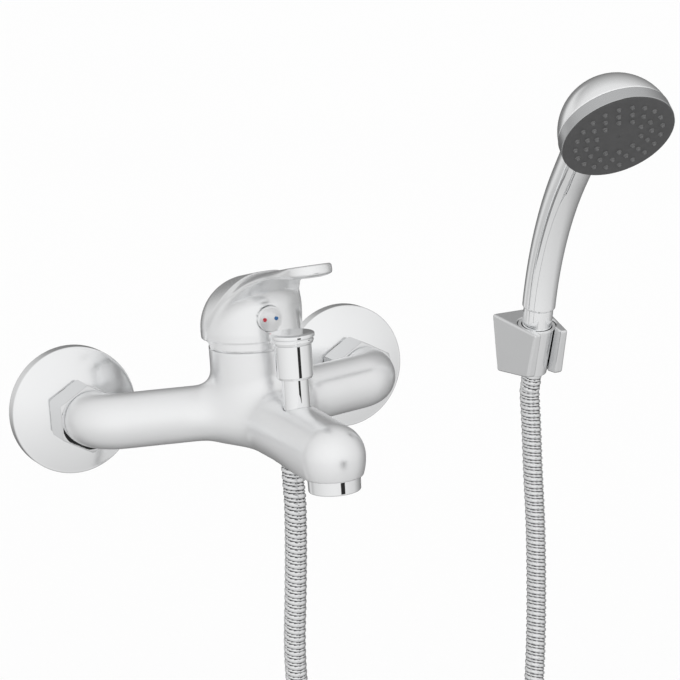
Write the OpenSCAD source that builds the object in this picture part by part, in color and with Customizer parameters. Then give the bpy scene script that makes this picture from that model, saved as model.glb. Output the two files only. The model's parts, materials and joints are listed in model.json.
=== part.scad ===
// Wall-mounted single-lever bath and shower mixer with hand shower, hose and wall bracket.
// Millimetres. +X is right, +Y goes into the wall, +Z is up.
// The origin lies on the wall, midway between the two inlets.

/* [Wall connections] */
// Distance between the two inlets
inlet_spacing = 150; // [140:1:165]
// Wall thread diameter (half inch pipe thread)
wall_thread_d = 20.96; // [19:0.02:22]
// Length of thread that enters the wall fitting
wall_thread_l = 14; // [10:1:20]
// Offset of the wall thread below the inlet axis
union_offset = 4; // [0:0.5:5]
// Union thread diameter (three quarter inch pipe thread)
union_thread_d = 26.4; // [25:0.1:27.5]
// Distance from the wall to the union's sealing face
union_l = 20; // [17:0.5:24]
// Water bore through unions and inlet tails
water_bore = 14; // [10:0.5:15]
// Rose diameter
rose_d = 65; // [58:1:80]
// How far the rose stands off the wall
rose_h = 12.5; // [10:0.5:13]
// Width of the rose's straight rim
rose_band = 6.5; // [3:0.5:8]
// Rose sheet thickness
rose_wall = 1.2; // [0.8:0.1:2]
// Union nut, across flats
nut_af = 30; // [29:0.5:36]
// Union nut length
nut_l = 18; // [16:0.5:24]
// Inlet tail diameter
tail_d = 20; // [17:0.5:21]
// How far the tail enters the body
tail_grip = 8; // [5:0.5:12]
// Washer and flange thickness at the union
washer_t = 2; // [1.5:0.1:3]

/* [Body] */
// Distance from the wall to the column axis
body_reach = 68; // [62:0.5:80]
// Arm diameter
arm_d = 27.5; // [26:0.5:30]
// Sweep of the arms back towards the wall, degrees
arm_angle = 15; // [8:0.5:20]
// Bend radius of the elbow axis
elbow_r = 16; // [16:0.5:22]
// Column diameter
column_d = 44.6; // [44:0.1:48]
// Distance from the wall to the aerator axis
spout_reach = 155.5; // [148:0.5:180]
// Radius of the spout's nose
nose_r = 15.5; // [15:0.25:18]
// Height of the nose centre
nose_z = -5.5; // [-7:0.5:-4]
// Radius of the spout at the column
spout_root_r = 16.5; // [15.5:0.25:18]
// Height of the spout axis at the column
spout_root_z = -2.5; // [-4:0.5:0]
// Water passages in the casting
passage_d = 8; // [6:0.5:9]

/* [Cartridge] */
// Cartridge diameter
cartridge_d = 35; // [34:0.1:36]
// Height of the cartridge seat above the inlet axis
seat_z = 5.5; // [5:0.5:9]
// Ceramic disc thickness
disc_t = 3; // [2:0.25:4]
// Distance from the lever pivot to the drive ball
ball_drop = 10; // [9:0.5:11]
// Height of the column's top above the lever pivot
pivot_drop = 2.5; // [1:0.25:3.5]
// Spindle width
spindle_w = 8; // [6:0.5:9]
// Lever lift from closed to full flow, degrees
lift_angle = 25; // [15:1:25]

/* [Lever] */
// Lever skirt diameter
lever_d = 48.8; // [48.4:0.1:54]
// Distance from the column axis to the lever tip
lever_reach = 86; // [78:1:110]
// Height of the dome's top above the pivot
lever_h = 35.5; // [33:0.5:42]
// Height of the tip's upper edge above the pivot
tip_rise = 51.5; // [46:0.5:56]
// Blade thickness at the tip
tip_t = 5.25; // [4:0.25:7]
// Blade width at the tip
tip_w = 22; // [18:0.5:30]
// Rounding of the blade's edge at its tip
tip_edge_r = 1.3; // [0.8:0.1:2]
// Height of the index plug above the pivot
index_rise = 18.5; // [18:0.25:20]
// Index plug diameter
index_d = 12.5; // [9:0.5:14]

/* [Diverter] */
// Distance from the wall to the diverter axis
diverter_reach = 117; // [115:0.5:122]
// Travel of the diverter knob
diverter_travel = 5.5; // [4:0.25:5.5]
// Knob diameter
knob_d = 18; // [16.5:0.5:22]
// Knob lip diameter
knob_lip_d = 21.7; // [20:0.1:25]
// Height of the knob's lower edge
knob_bottom = 25; // [22:0.5:30]
// Knob height
knob_h = 22; // [19:0.5:26]
// Guide sleeve diameter
sleeve_d = 13; // [11:0.5:14]
// Diverter spindle diameter
stem_d = 6; // [4:0.25:6.5]

/* [Aerator] */
// Aerator ring diameter
aerator_d = 25; // [24:0.25:28]
// Height of the visible ring
aerator_h = 6.5; // [5:0.25:9]
// Height of the spout's outlet face
outlet_z = -15.25; // [-16:0.25:-14.5]

/* [Hose] */
// Hose diameter over the ribs
hose_d = 11; // [10:0.25:11.5]
// Hose bore
hose_bore = 7; // [5:0.25:7.5]
// Depth of the groove between ribs
rib_depth = 0.6; // [0.3:0.05:0.8]
// Distance from the wall to the hose outlet
hose_reach = 106; // [105:0.5:107]
// Ribs on each free stretch
leg_ribs = 62; // [40:1:64]
// Ribs on the coil
coil_ribs = 72; // [60:1:76]
// Mid radius of the coil
coil_r = 62; // [58:0.5:64]
// Turns side by side, distance apart
coil_pitch = 12.4; // [12:0.1:14]

/* [Handset] */
// Distance of the bracket from the middle of the mixer
bracket_x = 183; // [175:1:200]
// Distance from the wall to the socket's top centre
socket_reach = 20.5; // [20:0.5:24]
// Height of the socket's top centre
socket_z = 8; // [6:0.5:10]
// Tilt of the socket away from the wall, degrees
socket_tilt = 17; // [10:0.5:18]
// Turn of the handset in its socket, degrees
handset_turn = -5; // [-20:1:20]
// Thread at the handset's foot (three eighths inch pipe thread)
foot_thread_d = 16.6; // [15:0.1:17]
// Length of the hose nut
hose_nut_l = 27; // [24:0.5:29]
// Hose nut diameter at its top
hose_nut_d = 20.4; // [19.5:0.1:21]
// Hose nut diameter at its foot
hose_nut_foot_d = 15.6; // [14.5:0.1:16.5]
// Visible collar between bracket and handle
collar_h = 11; // [8:0.5:14]
// Handle diameter at the foot
handle_foot_d = 17.8; // [17:0.1:20]
// Handle diameter at the head
handle_head_d = 20; // [18:0.25:23]
// Bend radius of the handle
handle_bend_r = 187; // [170:1:220]
// Bend of the handle, degrees
handle_bend = 27; // [22:0.5:30]
// Head diameter
head_d = 58.5; // [56:0.5:64]
// Height of the head's ring
ring_h = 7.5; // [6:0.25:10]
// Depth of the head from face to crown
head_depth = 33; // [30:0.5:36]
// Wall thickness of the handset's shell
shell_wall = 2.2; // [1.6:0.1:3]
// Spray nozzles in the outer, middle and inner ring
nozzle_counts = [20, 15, 10];
// Radii of the three rings of nozzles
nozzle_radii = [22.5, 17, 12];
// Nozzle diameter
nozzle_d = 1.9; // [1.4:0.1:2.4]
// How far the nozzles stand out
nozzle_h = 1.2; // [0.5:0.1:2]

/* [Bracket] */
// Bracket width at the wall
bracket_w = 32; // [30:0.5:38]
// Bracket width at the front
bracket_front_w = 24; // [23:0.5:30]
// Height of the bracket's back above the socket's top centre
bracket_rise = 6; // [4:0.5:8]
// Height of the bracket's back
bracket_h = 32; // [30:0.5:36]
// Depth along the top
bracket_depth = 37; // [36:0.5:44]
// Depth along the bottom
bracket_foot_depth = 27; // [26:0.5:32]
// Fall of the top towards the front, degrees
bracket_fall = 11; // [5:0.5:14]
// Width of the slot for the hose
slot_w = 12; // [11.75:0.25:13]
// Wall screw hole diameter
screw_d = 4.5; // [3.5:0.1:5]
// Distance between the two wall screws
screw_spacing = 10; // [9:0.5:12]
// Height of the middle of the screw holes above the bracket's middle
screw_rise = 4; // [3:0.5:5]
// Diameter of a wall screw's countersunk head
screw_head_d = 8.5; // [8:0.1:9]

/* [Hidden] */
$fn = 64;

// Clearances
thread_gap = 0.05;
running_gap = 0.08;
slide_gap = 0.3;
sphere_gap = 0.4;
lap = 0.01;

// Wall connections, measured outwards from the wall
inlet_x = inlet_spacing / 2;
nut_back = rose_h + 1;
nut_front = nut_back + nut_l;
nut_r = union_thread_d / 2 + thread_gap;
tail_flange_t = 3;
tail_flange_r = union_thread_d / 2 - 1;
tail_flange_front = union_l + washer_t + tail_flange_t;
body_face = nut_front + 0.5;
tail_end = body_face + tail_grip;
thread_relief = 1;
union_root = 7;

// Arms and elbows
arm_r = arm_d / 2;
elbow_turn = 90 - arm_angle;
elbow_tangent = elbow_r * tan(elbow_turn / 2);
elbow_land = 0.5;
seam = 0.05;
arm_rise = 0.7;
body_bottom = arm_rise - arm_r - 0.4;
arm_end = body_face + elbow_land + elbow_tangent;
arm_root = arm_end + inlet_x * tan(arm_angle);
arm_l = inlet_x / cos(arm_angle);
arm_flare = 4.5;

// Cartridge, upwards from its seat
column_r = column_d / 2;
cartridge_r = cartridge_d / 2;
seal_t = 1;
base_t = 3;
disc_gap = 0.1;
ball_r = 2.8;
ball_play = 0.6;
pocket_floor = 2.2;
ball_seat = pocket_floor + ball_play / 2 + ball_r;
base_z = seat_z + seal_t;
fixed_disc_z = base_z + base_t;
moving_disc_z = fixed_disc_z + disc_t + disc_gap;
holder_z = moving_disc_z + disc_t;
ball_z = holder_z + ball_seat;
pivot_z = ball_z + ball_drop;
holder_h = ball_seat + 1.6;
ball_travel = ball_drop * sin(lift_angle);
column_top = pivot_z + pivot_drop;
chamber_r = cartridge_r - 2.5;
disc_r = chamber_r - ball_travel - 1.2;
carrier_r = chamber_r - 2.9;
carrier_bottom = holder_z + holder_h + sphere_gap;
flange_t = 2.5;
ledge_z = carrier_bottom + flange_t + slide_gap;
shoulder_z = ledge_z + 1.2;
neck_r = carrier_r + running_gap + 2.3;
neck_top = column_top - 0.5;
carrier_top = pivot_z + 5;
clamp_r = column_r - 2.8;
clamp_hex_h = 3;
clamp_hex_af = 2 * (neck_r + 1.7);
swing_slot = 16;
pin_r = 2;
port_r = 3;
port_ring_r = 8;

// Cover cap and lever, spheres about the pivot
cap_r = sqrt(pow(column_r, 2) + pow(pivot_drop, 2));
cap_wall = 1.6;
cap_opening_r = 16.7;
cavity_r = cap_r + sphere_gap;
lever_r = lever_d / 2;
skirt_front_z = column_top + 0.5;
skirt_rear_rise = 4.5;
skirt_step_y = -2;
boss_r = 7.5;
boss_bottom = pivot_z + 11;
spindle_top = pivot_z + 28;
dome_z = pivot_z + lever_h - lever_r;
grub_d = 5;
index_t = 2.5;
index_sink = 0.4;
mark_d = 1.9;
mark_t = 0.35;
mark_spacing = 6;
index_z = pivot_z + index_rise;

// Diverter
stem_r = stem_d / 2;
sleeve_r = sleeve_d / 2;
sleeve_bottom = 6;
diverter_seal_t = 1;
valve_t = 3;
valve_r = 5.4;
upper_seat_z = -2;
seat_web = 2;
lower_seat_z = upper_seat_z - valve_t - diverter_travel - slide_gap;
valve_z = lower_seat_z + slide_gap / 2;
valve_chamber_r = 7;
knob_lip_h = 5;
knob_web = 6;
knob_bore_top = knob_bottom + knob_h - knob_web;
sleeve_top = knob_bore_top - 1;

// Aerator
aerator_thread_r = aerator_d / 2 - 1.5;
aerator_thread_l = 6.5;
aerator_wall = 1.5;
aerator_washer_t = 1.5;
spout_bore_z = 2.5;

// Hose outlet under the spout
outlet_thread_r = 8;
outlet_thread_l = 4.5;
outlet_collar_t = 1.5;
outlet_neck_r = 5.8;
outlet_face_z = -17.5;
outlet_washer_t = 1.2;
outlet_socket_top = outlet_face_z + outlet_thread_l + outlet_washer_t;
outlet_duct_r = 1.2;
outlet_duct_z = outlet_socket_top - 0.3;

// Handset, along its own axis from the socket's top centre
socket_taper_gap = 0.3;
nut_top_land = 1;
foot_thread_l = 13;
swivel_tail = 2;
swivel_flange_t = 2.5;
swivel_neck_r = 5.6;
swivel_flange_r = foot_thread_d / 2 - 0.7;
handset_washer_t = 2;
foot_r = foot_thread_d / 2;
foot_bottom = nut_top_land - foot_thread_l;
washer_bottom = foot_bottom - handset_washer_t - lap;
swivel_flange_top = washer_bottom - lap;
nut_shoulder = swivel_flange_top - swivel_flange_t - running_gap;
foot_bore_r = 5;
handle_start = nut_top_land + collar_h;
head_r = head_d / 2;
head_ahead = 59;
head_front = 24.4;
handle_end_l = 40;
handle_end_y = handle_bend_r * (1 - cos(handle_bend));
handle_end_z = handle_start + handle_bend_r * sin(handle_bend);
head_y = handle_end_y + head_ahead * sin(handle_bend) + head_front * cos(handle_bend);
head_z = handle_end_z + head_ahead * cos(handle_bend) - head_front * sin(handle_bend);
ring_wall = 1.9;
shell_r = head_r - 0.8;
crown_h = head_depth - ring_h;
crown_r = (shell_r * shell_r + crown_h * crown_h) / (2 * crown_h);
rim_r = head_r - ring_wall - 0.1;
plate_t = 3;
plate_r = rim_r;
mat_t = 1.4;
mat_r = nozzle_radii[0] + 2.5;
face_seal_t = 1;
handle_rings = 14;
handle_sides = 24;

// Bracket
bracket_top = socket_z + bracket_rise;
bracket_bottom = bracket_top - bracket_h;
screw_z = (bracket_top + bracket_bottom) / 2 + screw_rise;
screw_grip = 3.5;
screw_head_l = (screw_head_d - screw_d) / 2;
bracket_front_z = bracket_top - bracket_depth * tan(bracket_fall);
bracket_foot_w = bracket_w - 2;
bracket_front_foot_w = bracket_front_w - 2.5;
socket_open = 30;

// Hose routes: points chosen by hand, with the fixed ends taken from what they meet
hose_r = hose_d / 2;
hose_start_z = outlet_face_z - outlet_collar_t;
hose_end_gap = 0.3;
mixer_route = [
    [0, -hose_reach, hose_start_z],
    [0, -hose_reach, hose_start_z - 11],
    [0, -hose_reach, hose_start_z - 22],
    [0, -103, -62], [0, -98, -88], [0, -92, -118], [3, -85, -148],
    [10, -76, -178], [20, -68, -208], [29, -62, -236],
    [33, -58, -257], [33, -58, -268], [33, -58, -279]
];
handset_route = concat(
    [for (d = [hose_end_gap, 6, 12]) socket_point(-hose_nut_l - swivel_tail - d)],
    [
        [183, -8.5, -48], [182, -9.5, -75], [181, -11, -105], [178, -14, -138],
        [173, -19, -170], [168, -22, -200], [162, -25, -230],
        [157, -27, -257], [157, -27, -268], [157, -27, -279]
    ]
);
coil_centre = [95, -58, -290];
coil_lead = 11;
coil_turns = 2.5;
coil_steps = 60;
tie_play = 0.7;
tie_t = 1.4;
tie_w = 12;

// Shapes that repeat

function mid(a, b, t) = a + (b - a) * t;
function unit(v) = v / norm(v);

// A point on the smooth curve through p, between p[i] and p[i + 1]
function curve_point(p, i, t) =
    let (
        a = p[max(i - 1, 0)],
        b = p[i],
        c = p[i + 1],
        d = p[min(i + 2, len(p) - 1)]
    )
    0.5 * (2 * b + (c - a) * t + (2 * a - 5 * b + 4 * c - d) * t * t
        + (3 * b - a - 3 * c + d) * t * t * t);

// The whole curve through p, n steps to a span
function curve(p, n) = concat(
    [for (i = [0 : len(p) - 2], k = [0 : n - 1]) curve_point(p, i, k / n)],
    [p[len(p) - 1]]
);

// Running length along a list of points
function lengths(p) = [
    for (i = 0, s = 0; i < len(p); s = s + (i + 1 < len(p) ? norm(p[i + 1] - p[i]) : 0), i = i + 1) s
];

// Index of the span of p that holds length s
function span_at(run, s, low, high) =
    high - low <= 1 ? low
    : run[floor((low + high) / 2)] <= s ? span_at(run, s, floor((low + high) / 2), high)
    : span_at(run, s, low, floor((low + high) / 2));

// n + 1 points at equal distances along p
function even(p, n) =
    let (run = lengths(p), total = run[len(run) - 1])
    [
        for (k = [0 : n])
            let (
                s = total * k / n,
                i = min(span_at(run, s, 0, len(p) - 1), len(p) - 2)
            )
            mid(p[i], p[i + 1], (s - run[i]) / (run[i + 1] - run[i]))
    ];

// Direction of the curve at point i
function heading(p, i) = unit(p[min(i + 1, len(p) - 1)] - p[max(i - 1, 0)]);

// A ring of points round p[i], square to the curve
function ring_points(p, i, r, sides) =
    let (
        t = heading(p, i),
        u = unit(cross(t, [0, 1, 0])),
        v = cross(t, u)
    )
    [for (k = [0 : sides - 1]) p[i] + r * (cos(360 * k / sides) * u + sin(360 * k / sides) * v)];

// Triangles between two rings of points; flip turns the faces round
function band(a, b, sides, flip) = [
    for (k = [0 : sides - 1])
        let (m = (k + 1) % sides)
        each flip ? [[a + k, a + m, b + m], [a + k, b + m, b + k]]
            : [[a + k, b + m, a + m], [a + k, b + k, b + m]]
];

// Ribbed tube with a bore along the points of route
module ribbed_tube(route, ribs, bore_rings) {
    sides = 8;
    outer = even(route, 2 * ribs);
    inner = even(route, bore_rings);
    outer_count = len(outer);
    inner_start = outer_count * sides;
    inner_count = len(inner);
    points = concat(
        [
            for (i = [0 : outer_count - 1])
                each ring_points(outer, i, hose_r - (i % 2) * rib_depth, sides)
        ],
        [for (i = [0 : inner_count - 1]) each ring_points(inner, i, hose_bore / 2, sides)]
    );
    last_outer = (outer_count - 1) * sides;
    last_inner = inner_start + (inner_count - 1) * sides;
    polyhedron(
        points = points,
        faces = concat(
            [for (i = [0 : outer_count - 2]) each band(i * sides, (i + 1) * sides, sides, false)],
            [
                for (i = [0 : inner_count - 2])
                    each band(inner_start + i * sides, inner_start + (i + 1) * sides, sides, true)
            ],
            band(0, inner_start, sides, true),
            band(last_outer, last_inner, sides, false)
        )
    );
}

// Solid tube along points with a radius for each
module lofted_tube(p, radii, sides) {
    count = len(p);
    points = [for (i = [0 : count - 1]) each ring_points(p, i, radii[i], sides)];
    polyhedron(
        points = points,
        faces = concat(
            [for (i = [0 : count - 2]) each band(i * sides, (i + 1) * sides, sides, false)],
            [[for (k = [0 : sides - 1]) k]],
            [[for (k = [sides - 1 : -1 : 0]) (count - 1) * sides + k]]
        )
    );
}

module pipe(r_out, r_in, h) {
    difference() {
        cylinder(r = r_out, h = h);
        translate([0, 0, -lap])
            cylinder(r = r_in, h = h + 2 * lap);
    }
}

module hex_prism(across_flats, h) {
    cylinder(d = across_flats / cos(30), h = h, $fn = 6);
}

// Places a shape on an inlet axis, with its +Z towards the room
module at_inlet(side, out) {
    translate([side * inlet_x, -out, 0])
        rotate([90, 0, 0])
            children();
}

module at_column(z) {
    translate([0, -body_reach, z])
        children();
}

module at_diverter(z) {
    translate([0, -diverter_reach, z])
        children();
}

module at_aerator(z) {
    translate([0, -spout_reach, z])
        children();
}

module at_hose_outlet(z) {
    translate([0, -hose_reach, z])
        children();
}

// Places a shape on the socket axis, with +Z up the handset
module at_socket() {
    translate([bracket_x, -socket_reach, socket_z])
        rotate([socket_tilt, 0, 0])
            children();
}

function socket_point(z) = [
    bracket_x,
    -socket_reach - z * sin(socket_tilt),
    socket_z + z * cos(socket_tilt)
];

module at_handset() {
    at_socket()
        rotate([0, 0, handset_turn])
            children();
}

// Places a shape on the spray face, with +Z the way the water leaves
module at_face() {
    at_handset()
        translate([0, -head_y, head_z])
            rotate([90 + handle_bend, 0, 0])
                children();
}

// Wall connections

module wall_rose(side) {
    hole_r = union_thread_d / 2 + slide_gap;
    color("gainsboro")
        at_inlet(side, 0)
            rotate_extrude($fn = 96)
                difference() {
                    rose_outline(rose_d / 2, rose_h, rose_band, hole_r);
                    translate([0, -rose_wall])
                        rose_outline(rose_d / 2 - rose_wall, rose_h, rose_band, 0);
                }
}

// Half section of the rose: straight rim and shallow dome
module rose_outline(r, h, band_h, hole_r) {
    intersection() {
        dome_rise = h - band_h;
        dome_r = (r * r + dome_rise * dome_rise) / (2 * dome_rise);
        translate([hole_r, 0])
            square([r - hole_r, h]);
        translate([0, h - dome_r])
            circle(r = dome_r, $fn = 360);
    }
}

module eccentric_union(side) {
    bore_r = water_bore / 2;
    color("goldenrod")
        difference() {
            union() {
                at_inlet(side, union_root - 2)
                    cylinder(d = union_thread_d, h = union_l - union_root + 2);
                translate([0, 0, -union_offset])
                    at_inlet(side, -wall_thread_l)
                        cylinder(d = wall_thread_d, h = wall_thread_l);
                translate([0, 0, -union_offset])
                    at_inlet(side, -lap)
                        cylinder(d = wall_thread_d - 2 * thread_relief, h = union_root + lap);
            }
            at_inlet(side, union_root - 4)
                cylinder(r = bore_r, h = union_l);
            translate([0, 0, -union_offset])
                at_inlet(side, -wall_thread_l - 1)
                    cylinder(r = bore_r - 0.5, h = wall_thread_l + union_root);
        }
}

module union_nut(side) {
    chamfer = 1.2;
    corner_r = nut_af / 2 / cos(30);
    color("silver")
        at_inlet(side, nut_back)
            difference() {
                intersection() {
                    rotate([0, 0, 30])
                        hex_prism(nut_af, nut_l);
                    rotate_extrude()
                        polygon([
                            [0, 0], [corner_r - chamfer, 0], [corner_r, chamfer],
                            [corner_r, nut_l - chamfer], [corner_r - chamfer, nut_l], [0, nut_l]
                        ]);
                }
                translate([0, 0, -1])
                    cylinder(r = nut_r, h = tail_flange_front - nut_back + 1);
                cylinder(d = tail_d + 2 * slide_gap, h = nut_l + 1);
            }
}

module inlet_tail(side) {
    color("goldenrod")
        difference() {
            union() {
                at_inlet(side, union_l + washer_t)
                    cylinder(r = tail_flange_r, h = tail_flange_t);
                at_inlet(side, union_l + washer_t)
                    cylinder(d = tail_d, h = tail_end - union_l - washer_t);
            }
            at_inlet(side, union_l)
                cylinder(d = water_bore, h = tail_end);
        }
}

module union_washer(side) {
    color("dimgray")
        at_inlet(side, union_l)
            pipe(tail_flange_r, water_bore / 2 + 0.5, washer_t);
}

// Body casting

module mixer_body() {
    color("gainsboro")
        difference() {
            union() {
                column();
                for (side = [-1, 1])
                    mirror([side < 0 ? 1 : 0, 0, 0])
                        arm();
                spout();
            }
            cartridge_bore();
            for (side = [-1, 1])
                mirror([side < 0 ? 1 : 0, 0, 0])
                    inlet_passage();
            diverter_passages();
            aerator_socket();
            hose_socket();
        }
}

module column() {
    base_r = 12;
    base_drop = body_bottom + 0.8;
    at_column(0)
        rotate_extrude($fn = 96)
            union() {
                translate([0, base_drop + base_r])
                    square([column_r, column_top - base_drop - base_r]);
                translate([0, base_drop])
                    square([column_r - base_r, column_top - base_drop]);
                intersection() {
                    translate([column_r - base_r, base_drop + base_r])
                        circle(r = base_r);
                    translate([0, base_drop])
                        square([column_r, 2 * base_r]);
                }
            }
}

// Arm with a flare into the column and an elbow to the wall, on the +X side
module arm() {
    straight_l = arm_l - elbow_tangent;
    translate([0, -arm_root, arm_rise])
        rotate([0, 0, arm_angle]) {
            rotate([0, 90, 0])
                cylinder(r = arm_r - seam, h = straight_l + 1);
            arm_flare(0.7 * straight_l, 0.4 * arm_flare, 1.4);
            arm_flare(0.5 * straight_l, arm_flare, 2.5);
        }
    translate([inlet_x - elbow_r, -arm_end + elbow_tangent, arm_rise])
        rotate([0, 0, -elbow_turn])
            rotate_extrude(angle = elbow_turn)
                translate([elbow_r, 0])
                    circle(r = arm_r);
    translate([0, 0, arm_rise])
        at_inlet(1, body_face)
            cylinder(r = arm_r - seam, h = elbow_land + 1);
}

// Cone that widens and rises from a point on the arm towards the column
module arm_flare(from, rise, widen) {
    to = column_r / 2;
    fall = atan(rise / (from - to));
    translate([to, 0, rise])
        rotate([0, 90 + fall, 0])
            cylinder(r1 = arm_r + widen, r2 = arm_r - 0.6, h = (from - to) / cos(fall));
}

// Round spout that tapers from the column to a ball nose
module spout() {
    run = spout_reach - body_reach;
    drop = spout_root_z - nose_z;
    axis_l = sqrt(run * run + drop * drop);
    at_column(spout_root_z)
        rotate([90 + atan(drop / run), 0, 0])
            union() {
                cylinder(r1 = spout_root_r, r2 = 0.99 * nose_r, h = axis_l);
                translate([0, 0, axis_l])
                    sphere(r = nose_r);
            }
}

module cartridge_bore() {
    at_column(seat_z)
        cylinder(r = cartridge_r + thread_gap, h = column_top);
    at_column(shoulder_z)
        cylinder(r = clamp_r + thread_gap, h = column_top);
    at_column(-passage_d / 2)
        translate([0, -port_ring_r, 0])
            cylinder(r = port_r, h = column_top);
}

module inlet_passage() {
    port_x = port_ring_r * cos(30);
    port_y = -body_reach + port_ring_r * sin(30);
    at_inlet(1, body_face - 1)
        cylinder(r = tail_d / 2 + thread_gap, h = tail_grip + 1);
    at_inlet(1, body_face)
        cylinder(d = passage_d, h = arm_end - body_face);
    translate([inlet_x, -arm_end, 0])
        sphere(d = passage_d + 1);
    translate([inlet_x, -arm_end, 0])
        rotate([0, 0, arm_angle])
            rotate([0, -90, 0])
                cylinder(d = passage_d, h = arm_l - port_x - 2);
    translate([port_x, port_y, 0])
        cylinder(r = port_r, h = seat_z + 1);
}

module diverter_passages() {
    inlet_z = (upper_seat_z + lower_seat_z) / 2;
    at_diverter(sleeve_bottom - diverter_seal_t)
        cylinder(r = sleeve_r + thread_gap, h = column_top);
    at_diverter(upper_seat_z + seat_web)
        cylinder(r = sleeve_r - 0.5, h = sleeve_bottom);
    at_diverter(lower_seat_z - seat_web)
        cylinder(r = stem_r + 1.4, h = sleeve_bottom - lower_seat_z);
    at_diverter(lower_seat_z)
        cylinder(r = valve_chamber_r, h = upper_seat_z - lower_seat_z);
    translate([0, -body_reach - port_ring_r, inlet_z])
        rotate([90, 0, 0])
            cylinder(r = port_r, h = diverter_reach - body_reach - port_ring_r);
    at_diverter(outlet_duct_z)
        rotate([-90, 0, 0])
            cylinder(r = outlet_duct_r, h = diverter_reach - hose_reach);
    at_diverter(spout_bore_z)
        rotate([90, 0, 0])
            cylinder(r = port_r, h = spout_reach - diverter_reach);
}

module aerator_socket() {
    at_aerator(outlet_z - nose_r)
        cylinder(r = nose_r + 3, h = nose_r);
    at_aerator(outlet_z - 1)
        cylinder(r = aerator_thread_r + thread_gap, h = aerator_thread_l + aerator_washer_t + 1);
    at_aerator(outlet_z)
        cylinder(r = port_r + 2, h = spout_bore_z + port_r - outlet_z);
}

module hose_socket() {
    at_hose_outlet(outlet_face_z - 10)
        cylinder(r = outlet_thread_r + 1.5, h = 10);
    at_hose_outlet(outlet_face_z - 1)
        cylinder(r = outlet_thread_r + thread_gap, h = outlet_socket_top - outlet_face_z + 1);
}

// Cartridge

module three_ports(h) {
    for (a = [-90, 30, 150])
        rotate([0, 0, a])
            translate([port_ring_r, 0, -1])
                cylinder(r = port_r, h = h + 2);
}

module cartridge_seal() {
    color("dimgray")
        at_column(seat_z)
            difference() {
                cylinder(r = chamber_r, h = seal_t);
                three_ports(seal_t);
            }
}

module cartridge_base() {
    color("whitesmoke")
        at_column(base_z)
            difference() {
                cylinder(r = cartridge_r, h = base_t);
                three_ports(base_t);
            }
}

module fixed_disc() {
    color("white")
        at_column(fixed_disc_z)
            difference() {
                cylinder(r = chamber_r - 0.2, h = disc_t);
                three_ports(disc_t);
            }
}

module moving_disc() {
    recess_r = disc_r - 2.5;
    color("ivory")
        at_column(moving_disc_z)
            difference() {
                cylinder(r = disc_r, h = disc_t);
                translate([0, 0, -1])
                    cylinder(r = recess_r, h = disc_t / 2 + 1);
            }
}

module disc_holder() {
    color("lightgray")
        at_column(holder_z)
            difference() {
                cylinder(r = disc_r, h = holder_h);
                translate([0, 0, pocket_floor])
                    cylinder(r = ball_r + ball_play, h = holder_h);
            }
}

module cartridge_housing() {
    color("whitesmoke")
        at_column(0)
            difference() {
                union() {
                    translate([0, 0, fixed_disc_z])
                        cylinder(r = cartridge_r, h = shoulder_z - fixed_disc_z);
                    translate([0, 0, fixed_disc_z])
                        cylinder(r = neck_r, h = neck_top - fixed_disc_z);
                }
                translate([0, 0, fixed_disc_z - 1])
                    cylinder(r = chamber_r, h = ledge_z - fixed_disc_z + 1);
                cylinder(r = carrier_r + running_gap, h = column_top);
            }
}

module spindle_carrier() {
    slot_x = spindle_w + 2 * slide_gap;
    color("lightgray")
        at_column(0)
            difference() {
                union() {
                    translate([0, 0, carrier_bottom])
                        cylinder(r = carrier_r + 1.8, h = flange_t);
                    translate([0, 0, carrier_bottom])
                        cylinder(r = carrier_r, h = carrier_top - carrier_bottom);
                }
                translate([-slot_x / 2, -swing_slot / 2, carrier_bottom - 1])
                    cube([slot_x, swing_slot, carrier_top]);
                translate([0, 0, pivot_z])
                    rotate([0, 90, 0])
                        cylinder(r = pin_r + running_gap, h = 3 * carrier_r, center = true);
            }
}

module lever_spindle() {
    spindle_depth = spindle_w - 1;
    barrel_r = spindle_depth / 2;
    color("silver")
        at_column(0)
            union() {
                translate([-spindle_w / 2, -spindle_depth / 2, pivot_z])
                    cube([spindle_w, spindle_depth, spindle_top - pivot_z]);
                translate([0, 0, pivot_z])
                    rotate([0, 90, 0])
                        cylinder(r = barrel_r, h = spindle_w, center = true);
                translate([0, 0, pivot_z])
                    rotate([0, 90, 0])
                        cylinder(r = pin_r, h = 2 * carrier_r - 2, center = true);
                translate([0, 0, ball_z])
                    cylinder(r = ball_r - 0.8, h = ball_drop);
                translate([0, 0, ball_z])
                    sphere(r = ball_r);
            }
}

module retaining_nut() {
    color("goldenrod")
        at_column(shoulder_z)
            difference() {
                union() {
                    cylinder(r = clamp_r, h = column_top - shoulder_z);
                    hex_prism(clamp_hex_af, column_top - shoulder_z + clamp_hex_h);
                }
                translate([0, 0, -1])
                    cylinder(r = neck_r + slide_gap, h = column_top);
            }
}

module cover_cap() {
    color("gainsboro")
        at_column(pivot_z)
            difference() {
                sphere(r = cap_r, $fn = 96);
                sphere(r = cap_r - cap_wall, $fn = 96);
                translate([0, 0, pivot_drop - 2 * cap_r])
                    cylinder(r = 2 * cap_r, h = 2 * cap_r);
                cylinder(r = cap_opening_r, h = 2 * cap_r);
            }
}

// Lever

// Rounded envelope of dome and blade
module lever_envelope() {
    slope = atan((tip_rise - lever_h) / lever_reach);
    hull() {
        at_column(dome_z)
            sphere(r = lever_r, $fn = 48);
        at_column(pivot_z + tip_rise - tip_t)
            translate([0, -lever_reach + tip_w / 2, 0])
                rotate([-slope, 0, 0])
                    rotate_extrude($fn = 32)
                        for (level = [tip_edge_r, tip_t - tip_edge_r])
                            translate([tip_w / 2 - tip_edge_r, level])
                                circle(r = tip_edge_r, $fn = 16);
    }
}

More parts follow.
